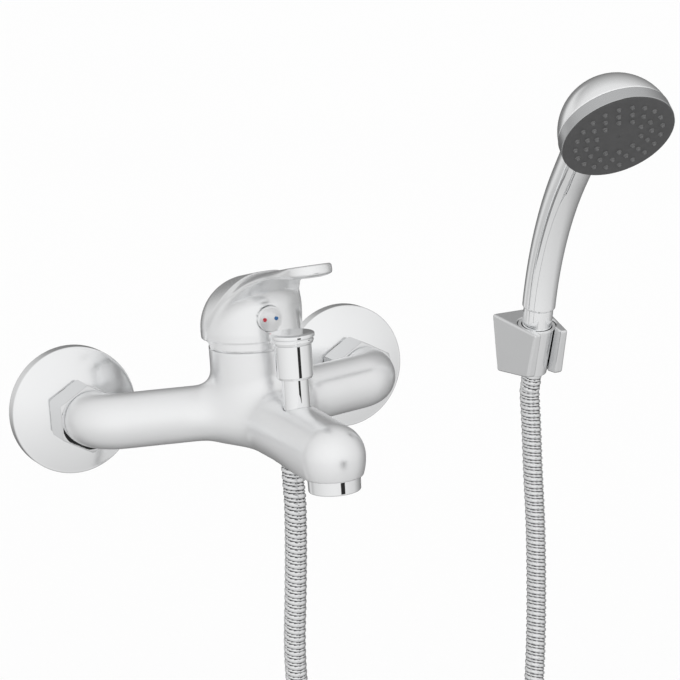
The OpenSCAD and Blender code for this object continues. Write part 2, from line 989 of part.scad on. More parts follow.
// Side view of the space above the blade's lower edge, which falls towards the rear of the dome
module blade_space() {
    heel = lever_r;
    at_column(pivot_z)
        rotate([90, 0, 90])
            translate([0, 0, -lever_d])
                linear_extrude(2 * lever_d)
                    polygon([
                        [-lever_reach - 5, tip_rise - tip_t + 1],
                        [-0.8 * lever_reach, tip_rise - tip_t - 1],
                        [-0.58 * lever_reach, tip_rise - tip_t - 4],
                        [-1.4 * heel, lever_h + 2.5],
                        [-heel, lever_h - 2.5],
                        [-0.55 * heel, lever_h - 11],
                        [0, lever_h - 30],
                        [3 * heel, lever_h - 30],
                        [3 * heel, 2 * tip_rise],
                        [-lever_reach - 5, 2 * tip_rise]
                    ]);
}

module lever() {
    socket_w = spindle_w + 2 * thread_gap;
    color("gainsboro")
        difference() {
            union() {
                difference() {
                    intersection() {
                        lever_envelope();
                        union() {
                            blade_space();
                            at_column(skirt_front_z)
                                cylinder(r = lever_r, h = tip_rise, $fn = 96);
                        }
                    }
                    at_column(pivot_z)
                        sphere(r = cavity_r, $fn = 96);
                    lever_skirt_cut();
                }
                at_column(boss_bottom)
                    cylinder(r = boss_r, h = spindle_top - boss_bottom);
            }
            at_column(boss_bottom - 1)
                translate([-socket_w / 2, -(socket_w - 1) / 2, 0])
                    cube([socket_w, socket_w - 1, spindle_top - boss_bottom + 1.5]);
            at_index(0)
                cylinder(d = grub_d, h = 2 * lever_r, center = true);
            at_index(-index_t)
                cylinder(d = index_d + 2 * thread_gap, h = lever_r);
        }
}

// Trims the skirt: level in front, higher behind so that it clears the column when lifted
module lever_skirt_cut() {
    at_column(skirt_front_z - lever_d)
        cylinder(r = lever_d, h = lever_d);
    at_column(skirt_front_z - 1)
        translate([-lever_d, skirt_step_y, 0])
            cube([2 * lever_d, lever_d, skirt_rear_rise + 1]);
}

// Places a shape on the index axis, +Z out of the lever's front
module at_index(out) {
    at_column(index_z)
        rotate([90, 0, 0])
            translate([0, 0, out == 0 ? lever_r : lever_r + out])
                children();
}

module lever_grub_screw() {
    key_af = 2.5;
    screw_l = boss_r - (spindle_w - 1) / 2 - 0.2;
    color("silver")
        at_column(index_z)
            rotate([90, 0, 0])
                translate([0, 0, boss_r - screw_l])
                    difference() {
                        cylinder(d = grub_d - 2 * thread_gap, h = screw_l);
                        translate([0, 0, screw_l / 2])
                            hex_prism(key_af, screw_l);
                    }
}

module index_plug() {
    color("gainsboro")
        at_index(-index_t)
            cylinder(d = index_d, h = index_t - index_sink);
}

module index_mark(side) {
    at_index(-index_sink)
        translate([side * mark_spacing / 2, 0, 0])
            cylinder(d = mark_d, h = mark_t);
}

module hot_mark() {
    color("firebrick")
        index_mark(-1);
}

module cold_mark() {
    color("steelblue")
        index_mark(1);
}

// Diverter

module diverter_sleeve() {
    color("gainsboro")
        at_diverter(sleeve_bottom)
            pipe(sleeve_r, stem_r + running_gap, sleeve_top - sleeve_bottom);
}

module diverter_seal() {
    color("dimgray")
        at_diverter(sleeve_bottom - diverter_seal_t)
            pipe(sleeve_r - 0.1, stem_r + slide_gap, diverter_seal_t);
}

module diverter_spindle() {
    color("silver")
        at_diverter(valve_z + valve_t)
            cylinder(r = stem_r, h = knob_bottom + knob_h - 2 - valve_z - valve_t);
}

module diverter_valve() {
    color("dimgray")
        at_diverter(valve_z)
            cylinder(r = valve_r, h = valve_t);
}

module diverter_knob() {
    lip_r = knob_lip_d / 2;
    body_r = knob_d / 2;
    lip_z = knob_h - knob_lip_h;
    bead = knob_lip_h / 4;
    color("gainsboro")
        at_diverter(knob_bottom)
            difference() {
                union() {
                    translate([0, 0, 1])
                        cylinder(r = body_r, h = lip_z);
                    cylinder(r = body_r - 0.6, h = 2);
                    translate([0, 0, lip_z])
                        rotate_extrude()
                            union() {
                                square([lip_r - bead, knob_lip_h]);
                                translate([lip_r - bead - 0.5, bead])
                                    circle(r = bead);
                                translate([lip_r - bead, 3 * bead])
                                    circle(r = bead);
                            }
                }
                translate([0, 0, -1])
                    cylinder(r = sleeve_r + slide_gap, h = knob_bore_top - knob_bottom + 1);
                cylinder(r = stem_r, h = knob_h - 2);
            }
}

// Aerator

module aerator_housing() {
    ring_r = aerator_d / 2;
    color("gainsboro")
        at_aerator(outlet_z - aerator_h)
            difference() {
                union() {
                    cylinder(r = ring_r, h = aerator_h);
                    cylinder(r = aerator_thread_r, h = aerator_h + aerator_thread_l);
                }
                translate([0, 0, -1])
                    cylinder(r = aerator_thread_r - aerator_wall, h = aerator_h + aerator_thread_l + 2);
            }
}

module aerator_insert() {
    insert_r = aerator_thread_r - aerator_wall - thread_gap;
    insert_h = aerator_h + aerator_thread_l - 2;
    hole_r = 1;
    color("whitesmoke")
        at_aerator(outlet_z - aerator_h + 1)
            difference() {
                cylinder(r = insert_r, h = insert_h);
                for (ring = [0 : 2], k = [0 : max(6 * ring, 1) - 1])
                    rotate([0, 0, k * 60 / max(ring, 1)])
                        translate([ring * 3.2, 0, -1])
                            cylinder(r = hole_r, h = insert_h + 2);
            }
}

module aerator_washer() {
    color("dimgray")
        at_aerator(outlet_z + aerator_thread_l)
            pipe(aerator_thread_r - 0.1, port_r + 2, aerator_washer_t);
}

// Hose

module hose_outlet_fitting() {
    color("silver")
        at_hose_outlet(hose_start_z)
            difference() {
                union() {
                    cylinder(r = outlet_neck_r, h = outlet_collar_t + 1);
                    translate([0, 0, outlet_collar_t])
                        cylinder(r = outlet_thread_r, h = outlet_thread_l);
                }
                translate([0, 0, -1])
                    cylinder(d = hose_bore, h = outlet_collar_t + outlet_thread_l + 2);
            }
}

module hose_outlet_washer() {
    color("dimgray")
        at_hose_outlet(outlet_face_z + outlet_thread_l)
            pipe(outlet_thread_r - 0.2, hose_bore / 2, outlet_washer_t);
}

module hose_mixer_leg() {
    color("lightgray")
        ribbed_tube(curve(mixer_route, 8), leg_ribs, 26);
}

module hose_handset_leg() {
    color("lightgray")
        ribbed_tube(curve(handset_route, 8), leg_ribs, 26);
}

// Coil: straight lead in, turns side by side, straight lead out
function coil_point(turn) = coil_centre + [
    -coil_r * cos(360 * turn),
    coil_pitch * turn,
    -coil_r * sin(360 * turn)
];
coil_route = concat(
    [coil_point(0) + [0, 0, coil_lead]],
    [for (k = [0 : coil_steps * coil_turns]) coil_point(k / coil_steps)],
    [coil_point(coil_turns) + [0, 0, coil_lead]]
);

module hose_coil() {
    color("lightgray")
        ribbed_tube(coil_route, coil_ribs, coil_ribs);
}

// Least gap between points of the coil that are at least half a turn apart
coil_gap = min([
    for (i = [0 : len(coil_route) - 1], k = [i + coil_steps / 2 : len(coil_route) - 1])
        norm(coil_route[i] - coil_route[k]) - hose_d
]);
echo(coil_least_gap = coil_gap);

// Strap round the passes at the foot of the coil
module hose_tie() {
    passes = floor(coil_turns + 0.5);
    first = coil_point(0.25);
    inner_r = hose_r + tie_play;
    outer_r = inner_r + tie_t;
    length = (passes - 1) * coil_pitch;
    color("dimgray")
        translate([first[0] - tie_w / 2, first[1], first[2]])
            rotate([90, 0, 90])
                linear_extrude(tie_w)
                    difference() {
                        stadium(length, outer_r);
                        stadium(length, inner_r);
                    }
}

module stadium(length, r) {
    union() {
        translate([0, -r])
            square([length, 2 * r]);
        circle(r = r);
        translate([length, 0])
            circle(r = r);
    }
}

// Handset

module hose_swivel() {
    color("silver")
        at_socket()
            difference() {
                union() {
                    translate([0, 0, -hose_nut_l - swivel_tail])
                        cylinder(r = swivel_neck_r, h = hose_nut_l + swivel_tail + swivel_flange_top);
                    translate([0, 0, swivel_flange_top - swivel_flange_t])
                        cylinder(r = swivel_flange_r, h = swivel_flange_t);
                }
                translate([0, 0, -2 * hose_nut_l])
                    cylinder(d = hose_bore, h = 2 * hose_nut_l);
            }
}

module hose_nut() {
    color("gainsboro")
        at_handset()
            difference() {
                union() {
                    translate([0, 0, -hose_nut_l])
                        cylinder(d1 = hose_nut_foot_d, d2 = hose_nut_d, h = hose_nut_l);
                    cylinder(d = hose_nut_d, h = nut_top_land);
                }
                translate([0, 0, nut_shoulder])
                    cylinder(r = foot_r + thread_gap, h = hose_nut_l);
                translate([0, 0, -hose_nut_l - 1])
                    cylinder(r = swivel_neck_r + running_gap, h = hose_nut_l);
            }
}

module handset_washer() {
    color("dimgray")
        at_handset()
            translate([0, 0, washer_bottom])
                pipe(foot_r - 0.2, hose_bore / 2, handset_washer_t);
}

// Middle line of the handle, s along it: an arc, then straight into the head
handle_arc_l = handle_bend_r * handle_bend * PI / 180;
function handle_point(s) =
    let (
        a = min(s / handle_arc_l, 1) * handle_bend,
        over = max(s - handle_arc_l, 0)
    )
    [
        0,
        -handle_bend_r * (1 - cos(a)) - over * sin(a),
        handle_start + handle_bend_r * sin(a) + over * cos(a)
    ];

module handset_shell() {
    color("gainsboro")
        difference() {
            union() {
                at_handset()
                    handle_solid();
                at_face()
                    intersection() {
                        translate([0, 0, crown_r - head_depth])
                            sphere(r = crown_r, $fn = 96);
                        translate([0, 0, -2 * head_depth])
                            cylinder(r = 2 * shell_r, h = 2 * head_depth - ring_h);
                    }
                at_face()
                    translate([0, 0, -ring_h])
                        cylinder(r = rim_r, h = ring_h - plate_t - face_seal_t, $fn = 96);
            }
            at_face()
                handset_cavity();
            at_handset()
                handle_bore();
        }
}

module handle_solid() {
    handle_l = handle_arc_l + handle_end_l;
    path = [for (k = [0 : handle_rings]) handle_point(handle_l * k / handle_rings)];
    radii = [
        for (k = [0 : handle_rings])
            mid(handle_foot_d, handle_head_d, pow(k / handle_rings, 1.6)) / 2
    ];
    lofted_tube(path, radii, handle_sides);
    translate([0, 0, foot_bottom])
        cylinder(r = foot_r - 0.3, h = handle_start - foot_bottom + 2);
    translate([0, 0, foot_bottom])
        cylinder(r = foot_r, h = foot_thread_l - 0.5);
}

module handset_cavity() {
    inner_r = crown_r - shell_wall;
    intersection() {
        translate([0, 0, crown_r - head_depth])
            sphere(r = inner_r, $fn = 96);
        translate([0, 0, -2 * head_depth])
            cylinder(r = rim_r - shell_wall, h = 3 * head_depth, $fn = 96);
    }
    translate([0, 0, -ring_h])
        cylinder(r = rim_r - shell_wall, h = 2 * ring_h, $fn = 96);
}

module handle_bore() {
    overlap = 1;
    end_bore_r = foot_bore_r - 0.4;
    translate([0, 0, foot_bottom - 1])
        cylinder(r = end_bore_r, h = handle_start - foot_bottom + 1 + overlap);
    translate([0, -handle_bend_r, handle_start])
        rotate([0, -90, 0])
            rotate([0, 0, 90])
                rotate_extrude(angle = -handle_bend)
                    translate([handle_bend_r, 0])
                        circle(r = foot_bore_r);
    translate(handle_point(handle_arc_l - overlap))
        rotate([handle_bend, 0, 0])
            cylinder(r = end_bore_r, h = head_ahead);
}

module head_ring() {
    color("silver")
        at_face()
            translate([0, 0, -ring_h])
                pipe(head_r, head_r - ring_wall, ring_h, $fn = 96);
}

module face_seal() {
    color("dimgray")
        at_face()
            translate([0, 0, -plate_t - face_seal_t])
                pipe(rim_r, rim_r - shell_wall, face_seal_t, $fn = 96);
}

module nozzle_pattern() {
    for (ring = [0 : len(nozzle_counts) - 1], k = [0 : nozzle_counts[ring] - 1])
        rotate([0, 0, 360 * (k + 0.5 * (ring % 2)) / nozzle_counts[ring]])
            translate([nozzle_radii[ring], 0, 0])
                children();
}

module spray_nozzles() {
    color("darkgray")
        at_face()
            union() {
                translate([0, 0, -plate_t - mat_t])
                    cylinder(r = mat_r, h = mat_t);
                nozzle_pattern()
                    translate([0, 0, -plate_t - lap])
                        cylinder(d = nozzle_d, h = plate_t + nozzle_h, $fn = 16);
            }
}

module spray_plate() {
    color("dimgray")
        at_face()
            difference() {
                translate([0, 0, -plate_t])
                    cylinder(r = plate_r, h = plate_t, $fn = 96);
                nozzle_pattern()
                    translate([0, 0, -plate_t - 1])
                        cylinder(d = nozzle_d + 2 * thread_gap, h = plate_t + 2, $fn = 16);
            }
}

// Bracket

module wall_bracket() {
    back_w = bracket_w / 2;
    back_foot_w = bracket_foot_w / 2;
    front_w = bracket_front_w / 2;
    front_foot_w = bracket_front_foot_w / 2;
    color("darkgray")
        difference() {
            translate([bracket_x, 0, 0])
                polyhedron(
                    points = [
                        [-back_foot_w, 0, bracket_bottom], [back_foot_w, 0, bracket_bottom],
                        [back_w, 0, bracket_top], [-back_w, 0, bracket_top],
                        [-front_foot_w, -bracket_foot_depth, bracket_bottom],
                        [front_foot_w, -bracket_foot_depth, bracket_bottom],
                        [front_w, -bracket_depth, bracket_front_z],
                        [-front_w, -bracket_depth, bracket_front_z]
                    ],
                    faces = [
                        [0, 1, 2], [0, 2, 3], [4, 6, 5], [4, 7, 6], [0, 4, 5], [0, 5, 1],
                        [3, 2, 6], [3, 6, 7], [0, 3, 7], [0, 7, 4], [1, 5, 6], [1, 6, 2]
                    ]
                );
            at_socket()
                socket_space();
            for (k = [-0.5, 0.5])
                translate([bracket_x, 0, screw_z + k * screw_spacing])
                    rotate([90, 0, 0])
                        screw_hole();
        }
}

// Hole for a wall screw, countersunk from the socket's side
module screw_hole() {
    translate([0, 0, -1])
        cylinder(d = screw_d, h = screw_grip + 2);
    translate([0, 0, screw_grip])
        cylinder(d1 = screw_d, d2 = screw_head_d, h = screw_head_l);
    translate([0, 0, screw_grip + screw_head_l])
        cylinder(d = screw_head_d, h = socket_reach - screw_grip - screw_head_l);
}

// Tapered seat for the hose nut, open above and below, with the slot for the hose
module socket_space() {
    top_r = hose_nut_d / 2 + socket_taper_gap;
    foot_r_open = hose_nut_foot_d / 2 + socket_taper_gap;
    translate([0, 0, -hose_nut_l])
        cylinder(r1 = foot_r_open, r2 = top_r, h = hose_nut_l);
    cylinder(r = top_r, h = socket_open);
    translate([0, 0, -hose_nut_l - socket_open])
        cylinder(r = foot_r_open, h = socket_open + lap);
    translate([-slot_w / 2, -2 * socket_open, -2 * socket_open])
        cube([slot_w, 2 * socket_open, 4 * socket_open]);
}

// The assembly

mixer_body();
wall_rose(-1);  // left_wall_rose
wall_rose(1);  // right_wall_rose
eccentric_union(-1);  // left_eccentric_union
eccentric_union(1);  // right_eccentric_union
union_nut(-1);  // left_union_nut
union_nut(1);  // right_union_nut
inlet_tail(-1);  // left_inlet_tail
inlet_tail(1);  // right_inlet_tail
union_washer(-1);  // left_union_washer
union_washer(1);  // right_union_washer
cartridge_seal();
cartridge_base();
fixed_disc();
moving_disc();
disc_holder();
cartridge_housing();
spindle_carrier();
lever_spindle();
retaining_nut();
cover_cap();
lever();
lever_grub_screw();
index_plug();
hot_mark();
cold_mark();
diverter_sleeve();
diverter_seal();
diverter_spindle();
diverter_valve();
diverter_knob();
aerator_housing();
aerator_insert();
aerator_washer();
hose_outlet_fitting();
hose_outlet_washer();
hose_mixer_leg();
hose_coil();
hose_tie();
hose_handset_leg();
hose_swivel();
hose_nut();
handset_washer();
handset_shell();
head_ring();
face_seal();
spray_nozzles();
spray_plate();
wall_bracket();
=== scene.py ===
"""Looks of the bath shower mixer: smooth chrome castings, ribbed hose, handset, bracket and studio light."""
import json
import math

import bpy
import numpy as np
from mathutils import Matrix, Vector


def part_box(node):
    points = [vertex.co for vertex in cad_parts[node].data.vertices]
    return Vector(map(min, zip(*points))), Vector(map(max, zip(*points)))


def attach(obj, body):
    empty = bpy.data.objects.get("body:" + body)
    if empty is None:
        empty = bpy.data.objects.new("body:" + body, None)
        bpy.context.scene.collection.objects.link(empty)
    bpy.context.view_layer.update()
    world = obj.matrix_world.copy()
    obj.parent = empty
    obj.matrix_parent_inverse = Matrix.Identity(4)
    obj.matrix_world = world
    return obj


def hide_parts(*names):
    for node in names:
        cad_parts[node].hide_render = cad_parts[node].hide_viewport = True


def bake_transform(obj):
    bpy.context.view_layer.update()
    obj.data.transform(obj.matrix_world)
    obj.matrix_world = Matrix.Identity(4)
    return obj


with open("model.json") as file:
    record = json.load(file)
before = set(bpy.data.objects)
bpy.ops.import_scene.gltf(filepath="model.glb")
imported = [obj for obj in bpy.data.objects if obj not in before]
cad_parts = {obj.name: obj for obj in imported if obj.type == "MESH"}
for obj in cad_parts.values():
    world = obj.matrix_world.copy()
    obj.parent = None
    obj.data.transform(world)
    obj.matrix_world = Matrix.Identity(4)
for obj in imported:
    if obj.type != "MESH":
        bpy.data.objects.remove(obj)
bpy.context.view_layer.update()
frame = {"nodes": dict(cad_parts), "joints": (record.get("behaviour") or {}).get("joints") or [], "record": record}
NODES = frame["nodes"]
MM = 0.001

# Camera at the photograph's viewing angle, with its slight roll
CAMERA_PLACE = (-0.4441, -1.1854, 0.2835)
CAMERA_AZIMUTH = math.radians(23.69)
CAMERA_ELEVATION = math.radians(11.81)
CAMERA_ROLL = math.radians(-3.9)
CAMERA_SENSOR = 36.0
# Focal length as a share of the picture's width
FOCAL_SHARE = 2500 / 680


def make_camera():
    """The camera, with no depth of field and no shift."""
    data = bpy.data.cameras.new("camera")
    data.sensor_width = CAMERA_SENSOR
    data.lens = FOCAL_SHARE * CAMERA_SENSOR
    camera = bpy.data.objects.new("camera", data)
    camera.matrix_world = (
        Matrix.Translation(CAMERA_PLACE)
        @ Matrix.Rotation(-CAMERA_AZIMUTH, 4, "Z")
        @ Matrix.Rotation(math.pi / 2 - CAMERA_ELEVATION, 4, "X")
        @ Matrix.Rotation(CAMERA_ROLL, 4, "Z")
    )
    bpy.context.scene.collection.objects.link(camera)
    bpy.context.scene.camera = camera


make_camera()


# Places that the frame gives, in millimetres

def box_mm(node):
    """Lowest and highest corner of a node, in millimetres."""
    low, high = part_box(node)
    return np.array(low) / MM, np.array(high) / MM


def centre_mm(node):
    """Middle of a node's box, in millimetres."""
    low, high = box_mm(node)
    return (low + high) / 2


def joint_place(name):
    """Point of a joint's axis, in millimetres."""
    joint = next(j for j in frame["joints"] if j["name"] == name)
    return np.array(joint["pos_m"]) / MM


COLUMN_Y = centre_mm("cover_cap")[1]
DIVERTER_Y = centre_mm("diverter_knob")[1]
AERATOR_Y = centre_mm("aerator_housing")[1]
INLET_X = centre_mm("right_wall_rose")[0]
PIVOT_Z = joint_place("lever_lift")[2]
SOCKET = joint_place("handset_swivel")
# Lean of the bracket's socket, and turn of the handset in it
SOCKET_TILT = math.radians(17)
HANDSET_TURN = math.radians(-5)


# Meshes

def new_mesh_object(name, points, faces, normals=None):
    """A smooth mesh object from points in millimetres."""
    mesh = bpy.data.meshes.new(name)
    mesh.from_pydata((np.asarray(points) * MM).tolist(), [], [list(map(int, f)) for f in faces])
    mesh.update()
    mesh.shade_smooth()
    if normals is not None:
        mesh.normals_split_custom_set_from_vertices(normals.tolist())
    piece = bpy.data.objects.new(name, mesh)
    bpy.context.scene.collection.objects.link(piece)
    return piece


def dress(piece, body, slot, *nodes):
    """Puts a piece on its body in place of its CAD nodes, with its slot's finish."""
    piece.data.materials.append(FINISH[slot])
    if nodes:
        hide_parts(*nodes)
    if body:
        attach(piece, body)
    return piece


def ring_faces(low, high, sides):
    """Faces between two rings of points, each given by its first point's number."""
    step = np.arange(sides)
    after = (step + 1) % sides
    return zip(low + step, low + after, high + after, high + step)


def turned(name, outline, place, sides=96):
    """A turned piece: outline of (radius, height) points about +Z, put in place by a 4x4 matrix."""
    outline = np.array(outline, float)
    angles = np.arange(sides) * 2 * math.pi / sides
    rings = np.stack([
        outline[:, None, 0] * np.cos(angles),
        outline[:, None, 0] * np.sin(angles),
        np.repeat(outline[:, None, 1], sides, axis=1),
    ], axis=-1)
    points = rings.reshape(-1, 3)
    points = points @ np.array(place.to_3x3()).T + np.array(place.translation)
    count = len(outline)
    faces = []
    for k in range(count):
        faces.extend(ring_faces(k * sides, (k + 1) % count * sides, sides))
    return new_mesh_object(name, points, faces)


def rounded(corners, steps=5, support=0.12):
    """Closed outline from (radius, height, fillet) corners, with an arc at each corner."""
    count = len(corners)
    outline = []
    for k in range(count):
        here = np.array(corners[k][:2], float)
        fillet = corners[k][2]
        before = np.array(corners[k - 1][:2], float)
        after = np.array(corners[(k + 1) % count][:2], float)
        into = (here - before) / np.linalg.norm(here - before)
        out = (after - here) / np.linalg.norm(after - here)
        turn = math.acos(max(-1, min(1, float(into @ out))))
        reach = fillet * math.tan(turn / 2)
        outline.append(here - into * (reach + support))
        for s in range(steps + 1):
            t = s / steps
            a = (here - into * reach) * (1 - t) + here * t
            b = here * (1 - t) + (here + out * reach) * t
            outline.append(a * (1 - t) + b * t)
        outline.append(here + out * (reach + support))
    return outline


# Solid shapes as distance fields, in millimetres

def ease(share):
    """Smooth step from 0 to 1, level at both ends."""
    share = np.clip(share, 0, 1)
    return share * share * (3 - 2 * share)


def smooth_min(a, b, blend):
    """Union of two fields with a fillet."""
    share = np.clip(0.5 + 0.5 * (b - a) / blend, 0, 1)
    return b + (a - b) * share - blend * share * (1 - share)


def smooth_max(a, b, blend):
    """Intersection of two fields with a rounded edge."""
    return -smooth_min(-a, -b, blend)


def upright(x, y, z, radius, low, high):
    """Upright cylinder about x = y = 0."""
    side = np.hypot(x, y) - radius
    ends = np.maximum(low - z, z - high)
    return np.maximum(side, ends)


CORNERS = [(i, j, k) for i in (0, 1) for j in (0, 1) for k in (0, 1)]


def crossed_cells(inside):
    """Each grid cell that the surface passes through, and a grid of their numbers."""
    nx, ny, nz = (n - 1 for n in inside.shape)
    held = sum(inside[i:i + nx, j:j + ny, k:k + nz].astype(np.int8) for i, j, k in CORNERS)
    active = (held > 0) & (held < len(CORNERS))
    cells = np.argwhere(active)
    number = np.full(active.shape, -1)
    number[active] = np.arange(len(cells))
    return cells, number


def cell_points(values, cells):
    """Mean of the points where the surface cuts each cell's edges, in grid steps."""
    total = np.zeros((len(cells), 3))
    crossings = np.zeros(len(cells))
    for start in CORNERS:
        for axis in range(3):
            if start[axis]:
                continue
            end = tuple(v + (n == axis) for n, v in enumerate(start))
            value_start = values[tuple((cells + start).T)]
            value_end = values[tuple((cells + end).T)]
            crossed = (value_start < 0) != (value_end < 0)
            span = np.where(crossed, value_start - value_end, 1)
            share = np.where(crossed, value_start / span, 0)
            point = np.array(start, float) + share[:, None] * (np.array(end) - np.array(start))
            total += point * crossed[:, None]
            crossings += crossed
    return cells + total / crossings[:, None]


def cell_faces(inside, number):
    """One face round each grid edge that the surface cuts, turned outwards."""
    faces = []
    for axis in range(3):
        u, v = (axis + 1) % 3, (axis + 2) % 3
        near = [slice(None)] * 3
        far = [slice(None)] * 3
        near[axis] = slice(0, -1)
        far[axis] = slice(1, None)
        edges = np.argwhere(inside[tuple(near)] != inside[tuple(far)])
        edges = edges[(edges[:, u] > 0) & (edges[:, v] > 0)]
        edges = edges[(edges[:, u] < number.shape[u]) & (edges[:, v] < number.shape[v])]
        starts_inside = inside[tuple(edges.T)]
        ring = []
        for du, dv in ((-1, -1), (0, -1), (0, 0), (-1, 0)):
            cell = edges.copy()
            cell[:, u] += du
            cell[:, v] += dv
            ring.append(number[tuple(cell.T)])
        ring = np.stack(ring, axis=1)
        faces.append(np.where(starts_inside[:, None], ring, ring[:, ::-1]))
    return np.concatenate(faces)


def net_mesh(name, field, low, high, step, place=None):
    """Meshes a distance field's surface: one point in each cell that it crosses, drawn onto it."""
    x, y, z = (np.arange(a, b + step, step) for a, b in zip(low, high))
    grid = field(x[:, None, None], y[None, :, None], z[None, None, :])
    values = np.ascontiguousarray(np.broadcast_to(grid, (len(x), len(y), len(z))))
    inside = values < 0
    cells, number = crossed_cells(inside)
    points, normals = settle(field, np.array(low) + cell_points(values, cells) * step)
    if place is not None:
        turn = np.array(place.to_3x3())
        points = points @ turn.T + np.array(place.translation)
        normals = normals @ turn.T
    return new_mesh_object(name, points, cell_faces(inside, number), normals)


def settle(field, points, passes=3, probe=0.02, longest=0.35):
    """Moves points onto the field's surface and gives the normals there."""
    for turn in range(passes + 1):
        value = field(points[:, 0], points[:, 1], points[:, 2])
        slope = np.stack([
            field(*(points + probe * np.eye(3)[n]).T) - field(*(points - probe * np.eye(3)[n]).T)
            for n in range(3)
        ], axis=1) / (2 * probe)
        size = np.maximum(np.linalg.norm(slope, axis=1), 1e-6)
        normals = slope / size[:, None]
        if turn < passes:
            points = points - normals * np.clip(value / size, -longest, longest)[:, None]
    return points, normals


# Materials

def shader(name, **sockets):
    """A material and its Principled shader, with constants on the shader's own sockets."""
    material = bpy.data.materials.new(name)
    material.use_nodes = True
    surface = material.node_tree.nodes["Principled BSDF"]
    for socket, value in sockets.items():
        surface.inputs[socket.replace("_", " ")].default_value = value
    return material, surface


# Part of the noise over which a colour changes
TINT_START = 0.3
TINT_END = 0.7


def add_noise(material, scale, detail=3.0, stretch=None):
    """Noise over the piece's own space, for finish variation."""
    tree = material.node_tree
    coordinates = tree.nodes.new("ShaderNodeTexCoord")
    noise = tree.nodes.new("ShaderNodeTexNoise")
    noise.inputs["Scale"].default_value = scale
    noise.inputs["Detail"].default_value = detail
    source = coordinates.outputs["Object"]
    if stretch:
        mapping = tree.nodes.new("ShaderNodeMapping")
        mapping.inputs["Scale"].default_value = stretch
        tree.links.new(source, mapping.inputs["Vector"])
        source = mapping.outputs["Vector"]
    tree.links.new(source, noise.inputs["Vector"])
    return noise.outputs["Fac"]


def scaled(shade, share):
    """A colour made lighter or darker, up to white."""
    return tuple(min(1, share * c) for c in shade)


def vary(material, surface, socket, factor, low, high):
    """Drives a number socket between two values by a factor."""
    tree = material.node_tree
    span = tree.nodes.new("ShaderNodeMapRange")
    span.inputs["To Min"].default_value = low
    span.inputs["To Max"].default_value = high
    tree.links.new(factor, span.inputs["Value"])
    tree.links.new(span.outputs["Result"], surface.inputs[socket])


def tint(material, surface, factor, low, high):
    """Drives the base colour between two colours by a factor."""
    tree = material.node_tree
    ramp = tree.nodes.new("ShaderNodeValToRGB")
    ramp.color_ramp.elements[0].position = TINT_START
    ramp.color_ramp.elements[1].position = TINT_END
    ramp.color_ramp.elements[0].color = (*low, 1)
    ramp.color_ramp.elements[1].color = (*high, 1)
    tree.links.new(factor, ramp.inputs["Fac"])
    tree.links.new(ramp.outputs["Color"], surface.inputs["Base Color"])


def emboss(material, surface, height, strength, distance):
    """Fine relief from a height factor."""
    tree = material.node_tree
    bump = tree.nodes.new("ShaderNodeBump")
    bump.inputs["Strength"].default_value = strength
    bump.inputs["Distance"].default_value = distance
    tree.links.new(height, bump.inputs["Height"])
    tree.links.new(bump.outputs["Normal"], surface.inputs["Normal"])


def plated(name, shade, rough, spread=0.03, metal=1.0):
    """Chrome plating: mirror metal with faint haze and the soft unevenness of a polished casting."""
    material, surface = shader(name, Metallic=metal)
    haze = add_noise(material, scale=60, detail=4)
    vary(material, surface, "Roughness", haze, rough, rough + spread)
    tint(material, surface, add_noise(material, scale=18), scaled(shade, 0.97), shade)
    emboss(material, surface, add_noise(material, scale=220, detail=2), strength=0.02, distance=0.0002)
    return material


def brushed_metal(name, shade, rough):
    """Turned or drawn metal with fine lines."""
    material, surface = shader(name, Metallic=1.0)
    lines = add_noise(material, scale=300, detail=4, stretch=(1, 1, 14))
    vary(material, surface, "Roughness", lines, rough - 0.06, rough + 0.08)
    tint(material, surface, lines, scaled(shade, 0.9), shade)
    emboss(material, surface, lines, strength=0.04, distance=0.0002)
    return material


def satin_silver(name, shade, rough):
    """Silver-painted plastic: fine metallic flake under a soft sheen."""
    material, surface = shader(name, Metallic=1.0)
    flake = add_noise(material, scale=2600, detail=2)
    vary(material, surface, "Roughness", add_noise(material, scale=90), rough - 0.04, rough + 0.06)
    tint(material, surface, flake, scaled(shade, 0.97), scaled(shade, 1.03))
    emboss(material, surface, flake, strength=0.01, distance=0.00002)
    return material


def moulded(name, shade, rough, relief=0.12):
    """Moulded plastic or rubber with a fine spark-eroded grain."""
    material, surface = shader(name)
    grain = add_noise(material, scale=1800)
    vary(material, surface, "Roughness", add_noise(material, scale=120), rough - 0.06, rough + 0.08)
    tint(material, surface, add_noise(material, scale=260), scaled(shade, 0.88), shade)
    emboss(material, surface, grain, strength=relief, distance=0.0001)
    return material


def enamel(name, shade):
    """Glossy enamel of a temperature mark."""
    material, surface = shader(name, Coat_Weight=0.6, Coat_Roughness=0.08)
    cloud = add_noise(material, scale=900, detail=2)
    vary(material, surface, "Roughness", cloud, 0.2, 0.34)
    tint(material, surface, cloud, scaled(shade, 0.85), shade)
    return material


